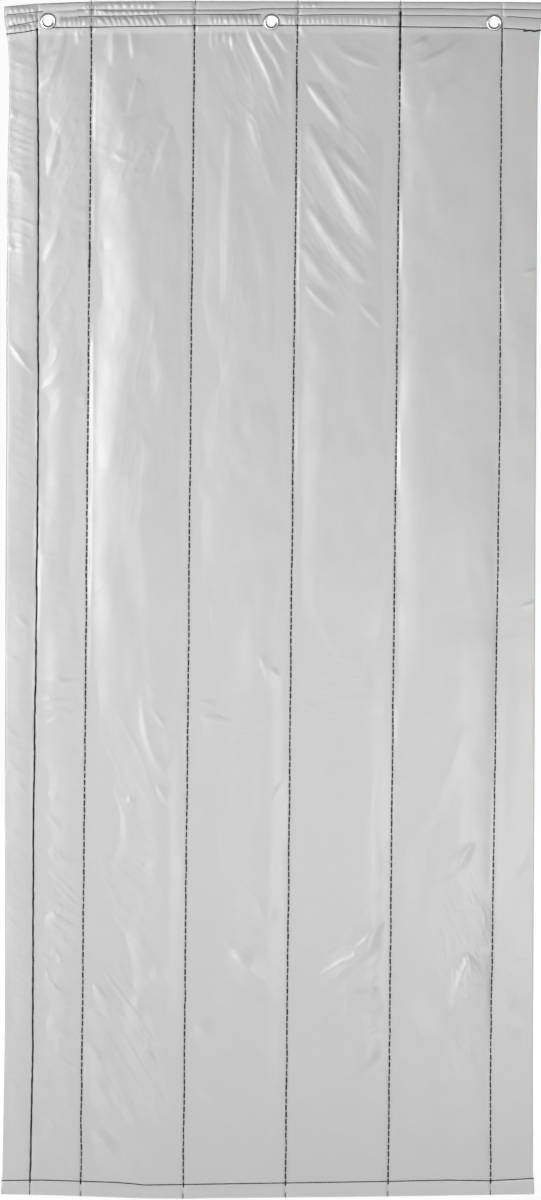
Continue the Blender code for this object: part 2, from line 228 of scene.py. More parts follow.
@dataclass(frozen=True)
class CoatedCloth:
    """Light grey polyester with a satin coating over a fine plain weave."""

    cool: tuple[float, float, float, float] = (0.488, 0.490, 0.495, 1.0)
    warm: tuple[float, float, float, float] = (0.503, 0.498, 0.496, 1.0)
    roughness: float = 0.34
    yarn_pitch: float = 0.9 * MM
    yarn_height: float = 0.012 * MM
    mottle_share: float = 0.05
    gloss: float = 0.9
    coat: float = 0.3
    coat_roughness: float = 0.28

    def build(self) -> bpy.types.Material:
        """Make the material.

        Returns:
            The material.
        """
        material, maker, shader = new_material("coated_cloth")
        place = maker.wire("ShaderNodeTexCoord", output="Object")
        parts = maker.node("ShaderNodeSeparateXYZ", inputs={0: place})
        x, z = Wire(maker, parts.outputs["X"]), Wire(maker, parts.outputs["Z"])
        turn = 2 * math.pi / self.yarn_pitch
        weave = (x * turn).sine() * (z * turn).sine()
        tone = maker.wire("ShaderNodeTexNoise", inputs={"Vector": place, "Scale": 5.0, "Detail": 3.0})
        mottle = maker.wire("ShaderNodeTexNoise", inputs={"Vector": place, "Scale": 60.0, "Detail": 4.0})
        colour = maker.blend(tone, self.cool, self.warm)
        grey = maker.wire("ShaderNodeRGBToBW", inputs={0: mottle})
        bump = maker.wire(
            "ShaderNodeBump",
            inputs={"Strength": 0.6, "Distance": self.yarn_height, "Height": weave + mottle * 1.5},
        )
        maker.feed(shader, {
            "Base Color": maker.blend(self.mottle_share, colour, grey, "MULTIPLY"),
            "Roughness": self.roughness - 0.03 + mottle * 0.06,
            "Normal": bump,
            "Specular IOR Level": self.gloss,
            "Coat Weight": self.coat,
            "Coat Roughness": self.coat_roughness,
        })
        return material


@dataclass(frozen=True)
class SewingThread:
    """Twisted polyester thread."""

    name: str
    dark: tuple[float, float, float, float]
    light: tuple[float, float, float, float]
    twist_pitch: float = 1.1 * MM

    def build(self) -> bpy.types.Material:
        """Make the material.

        Returns:
            The material.
        """
        material, maker, shader = new_material(self.name)
        place = maker.wire("ShaderNodeTexCoord", output="Object")
        parts = maker.node("ShaderNodeSeparateXYZ", inputs={0: place})
        x, z = Wire(maker, parts.outputs["X"]), Wire(maker, parts.outputs["Z"])
        ply = ((x + z) * (2 * math.pi / self.twist_pitch)).sine() * 0.5 + 0.5
        fuzz = maker.wire("ShaderNodeTexNoise", inputs={"Vector": place, "Scale": 900.0})
        bump = maker.wire(
            "ShaderNodeBump", inputs={"Strength": 0.5, "Distance": 0.1 * MM, "Height": ply + fuzz}
        )
        maker.feed(shader, {
            "Base Color": maker.blend(ply * 0.6 + fuzz * 0.4, self.dark, self.light),
            "Normal": bump,
            "Roughness": 0.65,
            "Specular IOR Level": 0.25,
        })
        return material


@dataclass(frozen=True)
class Nickel:
    """Bright plated brass with light scuffs, and painted shade standing in for shadow and dark reflection
    where its roll turns under.
    """

    colour: tuple[float, float, float, float] = (0.86, 0.86, 0.85, 1.0)
    # painted shade: near-black colour in place of the shadow and dark reflection on the rolled rim and at
    # the hole
    painted_shade_colour: tuple[float, float, float, float] = (0.02, 0.02, 0.021, 1.0)

    def build(self) -> bpy.types.Material:
        """Make the material.

        Returns:
            The material.
        """
        material, maker, shader = new_material("bright_nickel")
        place = maker.wire("ShaderNodeTexCoord", output="Object")
        cloud = maker.wire("ShaderNodeTexNoise", inputs={"Vector": place, "Scale": 220.0, "Detail": 5.0})
        scuffs = maker.wire(
            "ShaderNodeTexNoise", inputs={"Vector": place, "Scale": 1400.0, "Distortion": 2.0}
        )
        dull = (self.colour[0] * 0.82, self.colour[1] * 0.82, self.colour[2] * 0.83, 1.0)
        colour = maker.blend(cloud * cloud, self.colour, dull)
        # share of painted shade at the rim and hole; there the colour turns near-black, rougher and not
        # metallic
        roll = maker.wire("ShaderNodeAttribute", {"attribute_name": PAINTED_ROLL_SHADE}, output="Fac")
        bump = maker.wire(
            "ShaderNodeBump", inputs={"Strength": 0.15, "Distance": 0.05 * MM, "Height": scuffs}
        )
        maker.feed(shader, {
            "Base Color": maker.blend(roll, colour, self.painted_shade_colour),
            "Roughness": cloud * 0.16 + 0.1 + roll * 0.6,
            "Metallic": 1.0 - roll,
            "Normal": bump,
        })
        return material


@dataclass(frozen=True)
class PaleFloor:
    """A white studio floor that grows brighter away from the curtain."""

    colour: tuple[float, float, float, float] = (0.93, 0.93, 0.93, 1.0)
    near_glow: tuple[float, float, float, float] = (0.6, 0.6, 0.6, 1.0)
    far_glow: tuple[float, float, float, float] = (0.9, 0.9, 0.9, 1.0)
    near: float = 1.5
    far: float = 6.0

    def build(self) -> bpy.types.Material:
        """Make the material.

        Returns:
            The material.
        """
        material, maker, shader = new_material("pale_floor")
        place = maker.wire("ShaderNodeTexCoord", output="Object")
        away = maker.wire("ShaderNodeVectorMath", {"operation": "LENGTH"}, {0: place}, "Value")
        share = maker.wire(
            "ShaderNodeMapRange",
            {"interpolation_type": "SMOOTHSTEP"},
            {"Value": away, "From Min": self.near, "From Max": self.far},
        )
        maker.feed(shader, {
            "Base Color": self.colour,
            "Roughness": 0.9,
            "Emission Color": maker.blend(share, self.near_glow, self.far_glow),
            "Emission Strength": 1.0,
        })
        return material


@dataclass(frozen=True)
class Finishes:
    """The materials of the curtain."""

    cloth: bpy.types.Material
    seam_thread: bpy.types.Material
    row_thread: bpy.types.Material
    metal: bpy.types.Material

    @classmethod
    def build(cls) -> "Finishes":
        """Make every material once.

        Returns:
            The materials.
        """
        seam = SewingThread("seam_thread", (0.003, 0.003, 0.003, 1.0), (0.014, 0.014, 0.015, 1.0))
        row = SewingThread("row_thread", (0.03, 0.03, 0.031, 1.0), (0.09, 0.09, 0.093, 1.0), 0.6 * MM)
        return cls(CoatedCloth().build(), seam.build(), row.build(), Nickel().build())


def smooth(value: Grid) -> Grid:
    """Smoothstep of values that are first kept between 0 and 1."""
    kept = np.clip(value, 0.0, 1.0)
    return kept * kept * (3.0 - 2.0 * kept)


@dataclass(frozen=True)
class Offsets:
    """A line that runs beside a straight one: distance below the top, then offset, in millimetres."""

    knots_mm: tuple[Point, ...] = ((0.0, 0.0), (2032.0, 0.0))

    def at(self, below: Grid) -> Grid:
        """Offset in metres at each distance below the top in metres.

        Args:
            below: Distances below the top.

        Returns:
            Values.
        """
        downs, offsets = np.array(self.knots_mm).T * MM
        step = 6 * MM
        spread = [np.interp(below + shift * step, downs, offsets) for shift in (-2, -1, 0, 1, 2)]
        return sum(spread) / len(spread)


# How the side edges and the two sewn seams wander as the curtain hangs.
LEFT_EDGE = Offsets((
    (0, -8.0), (38, -7.6), (58, -2.0), (110, 1.5), (184, 2.0), (188, 4.2), (194, 1.4), (280, 0.4),
    (286, 2.2), (294, -0.4), (378, -0.6), (386, 1.4), (394, 0.2), (405, 1.8), (415, 0.4), (430, 1.6),
    (445, 0.4), (556, 0.6), (566, 2.6), (572, 1.0), (760, 2.4), (1000, 3.2), (1112, 3.6), (1118, 5.0),
    (1126, 4.0), (1224, 4.4), (1232, 6.2), (1240, 4.6), (1408, 5.6), (1414, 7.2), (1424, 6.0),
    (1765, 8.4), (2000, 6.8), (2012, 5.0), (2032, 4.0),
))
RIGHT_EDGE = Offsets((
    (0, -3.2), (38, -2.9), (58, -7.0), (166, -8.6), (430, -7.0), (710, -5.0), (1180, -2.2),
    (1760, 2.2), (2000, 4.4), (2012, 6.6), (2032, 7.0),
))
SEAM_1 = Offsets(((0, -3.9), (270, 0.7), (700, 4.4), (1100, 4.6), (1390, 2.8), (1790, 5.6), (2032, 2.4)))
SEAM_6 = Offsets(((0, -1.9), (270, -0.8), (710, 2.2), (1390, 0.2), (1790, -1.4), (2032, 1.4)))


@dataclass(frozen=True)
class CrossLine:
    """A line across the sheet through pixels of the reference frame: its top edge, hem or a row."""

    pixels: tuple[Point, ...]

    @lru_cache
    def knots(self, photo: "Photo") -> tuple[tuple[float, ...], ...]:
        """X of every knot and Z of every knot."""
        return tuple(zip(*(photo.place(*pixel) for pixel in self.pixels)))

    def at(self, x: Grid, photo: "Photo") -> Grid:
        """Z of the line at each X."""
        return np.interp(x, *self.knots(photo))


TOP_EDGE = CrossLine(((0, 8.4), (6, 7.8), (20, 6.6), (34, 5.4), (46, 4.9), (60, 4.6), (92, 3.0),
                      (140, 2.5), (190, 2.1), (500, 2.0), (541, 2.2)))
BOTTOM_EDGE = CrossLine(((0, 1194.6), (40, 1195.4), (90, 1197.0), (140, 1199.0), (180, 1199.4),
                         (270, 1198.6), (400, 1197.4), (541, 1195.6)))
ROW_1 = CrossLine(((0, 16.9), (5, 16.4), (41, 13.2), (80, 11.4), (245, 11.0), (262, 9.6), (300, 9.2),
                   (400, 9.1), (440, 8.8), (470, 9.4), (490, 8.9), (541, 9.9)))
ROW_2 = CrossLine(((0, 29.0), (8, 27.8), (41, 21.6), (80, 17.8), (130, 17.2), (170, 15.6),
                   (262, 15.2), (300, 15.9), (340, 15.0), (400, 15.4), (480, 16.0), (510, 16.6),
                   (541, 18.6)))
ROW_3 = CrossLine(((0, 36.4), (6, 35.6), (22, 33.6), (36, 31.2), (46, 29.3), (58, 29.0), (93, 28.6),
                   (130, 27.7), (200, 26.7), (270, 26.2), (330, 25.8), (372, 26.4), (400, 27.0),
                   (450, 27.4), (500, 28.2), (520, 29.0), (541, 30.6)))
BACKSTITCH = CrossLine(((0, 30.6), (521, 30.8), (526, 30.2), (531, 31.0), (536, 29.9), (541, 30.2)))
HEM_ROW = CrossLine(((0, 1181.0), (4, 1181.0), (43, 1180.4), (82, 1181.7), (118, 1183.0),
                     (136, 1184.6), (145, 1185.6), (180, 1185.2), (270, 1184.0), (390, 1182.4),
                     (450, 1181.2), (490, 1182.0), (534, 1179.8), (541, 1179.6)))
SEAM_NUMBERS = range(1, 7)


@dataclass(frozen=True)
class Plan:
    """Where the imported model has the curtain's edges, seams and grommets."""

    left: float
    right: float
    top: float
    bottom: float
    seams: tuple[float, ...]
    grommets: tuple[Point, ...]
    header_front: float
    header_back: float

    @classmethod
    def from_frame(cls) -> "Plan":
        """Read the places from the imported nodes.

        Returns:
            The places.
        """
        threads = [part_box(f"seam_{number}_needle_thread") for number in SEAM_NUMBERS]
        rings = [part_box(f"grommet_{name}") for name in ("left", "centre", "right")]
        washer_low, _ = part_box("grommet_washer_centre")
        edge_low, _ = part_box("left_side_hem")
        _, edge_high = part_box("right_side_hem")
        skin_low, skin_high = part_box("front_skin_centre")
        webbing_low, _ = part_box("header_webbing_centre")
        layer_gap = 0.3 * MM
        return cls(
            left=edge_low.x,
            right=edge_high.x,
            top=skin_high.z,
            bottom=skin_low.z,
            seams=tuple((low.x + high.x) / 2 for low, high in threads),
            grommets=tuple(((low.x + high.x) / 2, (low.z + high.z) / 2) for low, high in rings),
            header_front=-webbing_low.y + layer_gap + 0.5 * MM,
            header_back=washer_low.y - layer_gap,
        )


@dataclass(frozen=True)
class Photo:
    """Places a pixel of the reference frame on the sheet, by the seams on both sides of it."""

    plan: Plan
    pixels_per_metre: float = 588.0
    top_pixel: float = 2.0
    rows: tuple[float, ...] = (20, 160, 420, 820, 1060, 1183)
    uprights: tuple[tuple[float, ...], ...] = (
        (5.7, 38.2, 93.0, 194.6, 298.5, 400.8, 500.2, 540.0),
        (10.0, 39.6, 92.0, 192.5, 296.0, 398.8, 499.5, 535.7),
        (8.4, 39.6, 89.2, 187.7, 293.3, 395.8, 499.0, 535.0),
        (6.6, 34.4, 83.0, 182.5, 288.6, 391.4, 494.4, 534.0),
        (5.8, 34.4, 82.7, 182.2, 285.9, 388.9, 490.7, 533.6),
        (3.0, 31.0, 82.1, 183.2, 287.1, 390.5, 491.4, 534.6),
    )

    def height(self, row: Grid | float) -> Grid | float:
        """Z of a pixel row."""
        return self.plan.top - (row - self.top_pixel) / self.pixels_per_metre

    def place(self, column: float, row: float) -> Point:
        """X and Z of a pixel.

        Args:
            column: Pixel column.
            row: Pixel row.

        Returns:
            X and Z.
        """
        here = [float(np.interp(row, self.rows, line)) for line in zip(*self.uprights)]
        lines = [self.plan.left, *self.plan.seams, self.plan.right]
        slope = self.pixels_per_metre
        if column < here[0]:
            return lines[0] - (here[0] - column) / slope, self.height(row)
        if column > here[-1]:
            return lines[-1] + (column - here[-1]) / slope, self.height(row)
        return float(np.interp(column, here, lines)), self.height(row)


@dataclass(frozen=True)
class SmoothNoise:
    """Smooth random heights between -1 and 1 on a lattice of cells."""

    seed: int
    cell_x: float
    cell_z: float

    @lru_cache
    def lattice(self) -> Grid:
        """Random values at the corners of the cells."""
        return np.random.default_rng(self.seed).uniform(-1, 1, (512, 512))

    def at(self, x: Grid, z: Grid) -> Grid:
        """Value at each place.

        Args:
            x: X of the places.
            z: Z of the places.

        Returns:
            Values.
        """
        lattice = self.lattice()
        u, v = x / self.cell_x + 200.0, z / self.cell_z + 460.0
        i, j = np.floor(u).astype(int), np.floor(v).astype(int)
        s, t = smooth(u - i), smooth(v - j)
        i, j = i % 511, j % 511
        low = lattice[i, j] * (1 - s) + lattice[i + 1, j] * s
        high = lattice[i, j + 1] * (1 - s) + lattice[i + 1, j + 1] * s
        return low * (1 - t) + high * t


@dataclass(frozen=True)
class Crease:
    """A ridge, or a furrow where its height is negative, along pixels of the reference frame.

    The skew makes its left flank wider (positive) or its right one (negative).
    """

    pixels: tuple[Point, ...]
    height_mm: float
    width_mm: float
    skew: float = -0.4
    bluntness: float = 0.4
    steps: int = 16
    height_gain: float = 0.8
    width_gain: float = 1.6
    flank_reach: float = 1.8
    falloff: float = 1.6
    gentle_end: float = 0.015
    abrupt_run: float = 0.02

    def path(self, photo: Photo) -> Grid:
        """Points along the crease, in metres, on a smooth curve.

        Args:
            photo: The photo's scale.

        Returns:
            X and Z in columns.
        """
        points = np.array([photo.place(*pixel) for pixel in self.pixels])
        ends = np.vstack((2 * points[0] - points[1], points, 2 * points[-1] - points[-2]))
        t = np.linspace(0, 1, max(2, self.steps // (len(points) - 1)), endpoint=False)[:, None]
        runs = []
        for a, b, c, d in zip(ends, ends[1:], ends[2:], ends[3:]):
            linear, square, cube = c - a, 2 * a - 5 * b + 4 * c - d, 3 * b - a - 3 * c + d
            runs.append(b + 0.5 * (linear * t + square * t ** 2 + cube * t ** 3))
        return np.vstack((*runs, points[-1:]))

    def heights(self, x: Grid, z: Grid, photo: Photo) -> tuple[Grid, Grid]:
        """Height of the crease at each place near it.

        Args:
            x: X of the places.
            z: Z of the places.
            photo: What places its pixels.

        Returns:
            Which places are near it, and their heights.
        """
        path = self.path(photo)
        width = self.width_gain * self.width_mm * MM
        low, high = path.min(axis=0) - 3 * width, path.max(axis=0) + 3 * width
        near = (x > low[0]) & (x < high[0]) & (z > low[1]) & (z < high[1])
        places = np.column_stack((x[near], z[near]))
        if not len(places):
            return near, np.zeros(0)
        starts, runs = path[:-1], np.diff(path, axis=0)
        offset = places[:, None, :] - starts[None]
        share = np.clip((offset * runs).sum(-1) / (runs ** 2).sum(-1), 0, 1)
        apart = offset - share[..., None] * runs
        distance = (apart ** 2).sum(-1)
        nearest = distance.argmin(axis=1)
        rows = np.arange(len(places))
        along = (nearest + share[rows, nearest]) / len(starts)
        side = np.sign(apart[rows, nearest, 0])
        flank = width * (1 - self.skew * side) * (0.55 + 0.45 * np.sin(math.pi * along))
        length = np.sqrt((runs ** 2).sum(-1)).sum()
        end_slope = self.height_gain * abs(self.height_mm) * MM / length
        abrupt = smooth((end_slope - self.gentle_end) / self.abrupt_run)
        taper = np.sin(math.pi * np.clip(along, 0, 1)) ** (0.7 + 0.9 * float(abrupt))
        beyond = np.sqrt(distance[rows, nearest]) / flank
        rounded = np.sqrt(beyond ** 2 + self.bluntness ** 2) - self.bluntness
        profile = np.clip(1 - rounded / self.flank_reach, 0, 1) ** self.falloff
        return near, self.height_gain * self.height_mm * MM * taper * profile


@dataclass(frozen=True)
class Gathers:
    """Small upright pleats where the header's cloth was pushed together between two rows."""

    columns: Point
    rows: Point
    pitch_mm: float
    height_mm: float
    slant: float = 0.0
    seed: int = 1
    height_gain: float = 2.8
    border: float = 6 * MM

    def heights(self, x: Grid, z: Grid, photo: Photo) -> Grid:
        """Height of the pleats at each place.

        Args:
            x: X of the places.
            z: Z of the places.
            photo: The photo's scale.

        Returns:
            Heights.
        """
        left, top = photo.place(self.columns[0], self.rows[0])
        right, bottom = photo.place(self.columns[1], self.rows[1])
        across = smooth((x - left) / self.border) * smooth((right - x) / self.border)
        share = np.clip((top - z) / (top - bottom), 0, 1)
        down = np.sin(math.pi * share) ** 0.7
        wander = SmoothNoise(self.seed, 14 * MM, 60 * MM).at(x, z)
        phase = (x + self.slant * (z - top)) / (self.pitch_mm * MM) + 0.35 * wander
        pleat = abs(np.sin(math.pi * phase)) ** 0.8
        size = 0.75 + 0.25 * SmoothNoise(self.seed + 50, 11 * MM, 60 * MM).at(x, z)
        return self.height_gain * self.height_mm * MM * pleat * size * across * down


@dataclass(frozen=True)
class Rumple:
    """A patch of small wrinkles that cross each other, mostly along one direction.

    Its centre and reach are pixels of the reference frame, and its angle is counted from +X towards +Z.
    """

    centre: Point
    reach: Point
    angle: float
    height_mm: float
    seed: int
    length_mm: float = 46.0
    width_mm: float = 13.0
    height_gain: float = 0.45
    octaves: tuple[float, ...] = (0.68, 0.32)
    shrink: float = 1.9

    def heights(self, x: Grid, z: Grid, photo: Photo) -> Grid:
        """Height of the wrinkles at each place.

        Args:
            x: X of the places.
            z: Z of the places.
            photo: The photo's scale.

        Returns:
            Heights.
        """
        centre_x, centre_z = photo.place(*self.centre)
        reach_x, reach_z = (pixels / photo.pixels_per_metre for pixels in self.reach)
        off_x, off_z = x - centre_x, z - centre_z
        window = smooth(1.6 * (1 - np.hypot(off_x / reach_x, off_z / reach_z)))
        turn = math.radians(self.angle)
        along = off_x * math.cos(turn) + off_z * math.sin(turn)
        across = off_z * math.cos(turn) - off_x * math.sin(turn)
        total = np.zeros(np.shape(x))
        for octave, share in enumerate(self.octaves):
            length = self.length_mm * MM / self.shrink ** octave
            width = self.width_mm * MM / self.shrink ** octave
            bent = across + 0.5 * width * SmoothNoise(self.seed + 31, length, length).at(along, across)
            crest = 1 - abs(SmoothNoise(self.seed + octave, length, width).at(along, bent)) * 2.2
            total = total + share * np.clip(crest, 0, 1) ** 1.5
        return self.height_gain * self.height_mm * MM * window * total


GATHERS = (
    Gathers((6, 38), (8, 16), 9.5, 0.7, 0.15, 3),
    Gathers((6, 38), (16, 26), 9.0, 1.0, 0.2, 4),
    Gathers((6, 37), (25, 35), 9.0, 1.0, 0.1, 5),
    Gathers((55, 96), (18, 29), 8.6, 0.9, 0.0, 6),
    Gathers((94, 168), (17, 28), 10.6, 1.2, 0.42, 7),
    Gathers((100, 160), (3, 11), 12.0, 0.7, 0.0, 8),
    Gathers((100, 160), (11, 17), 11.0, 0.7, 0.2, 9),
    Gathers((176, 200), (16, 27), 11.0, 0.4, 0.0, 10),
    Gathers((208, 262), (15, 27), 10.0, 1.0, 0.1, 11),
    Gathers((276, 300), (15, 27), 9.0, 0.7, 0.0, 12),
    Gathers((300, 392), (16, 26), 9.4, 0.35, 0.0, 13),
    Gathers((300, 322), (3, 10), 10.0, 0.5, 0.0, 14),
    Gathers((84, 106), (5, 14), 6.0, 0.8, 0.8, 15),
)

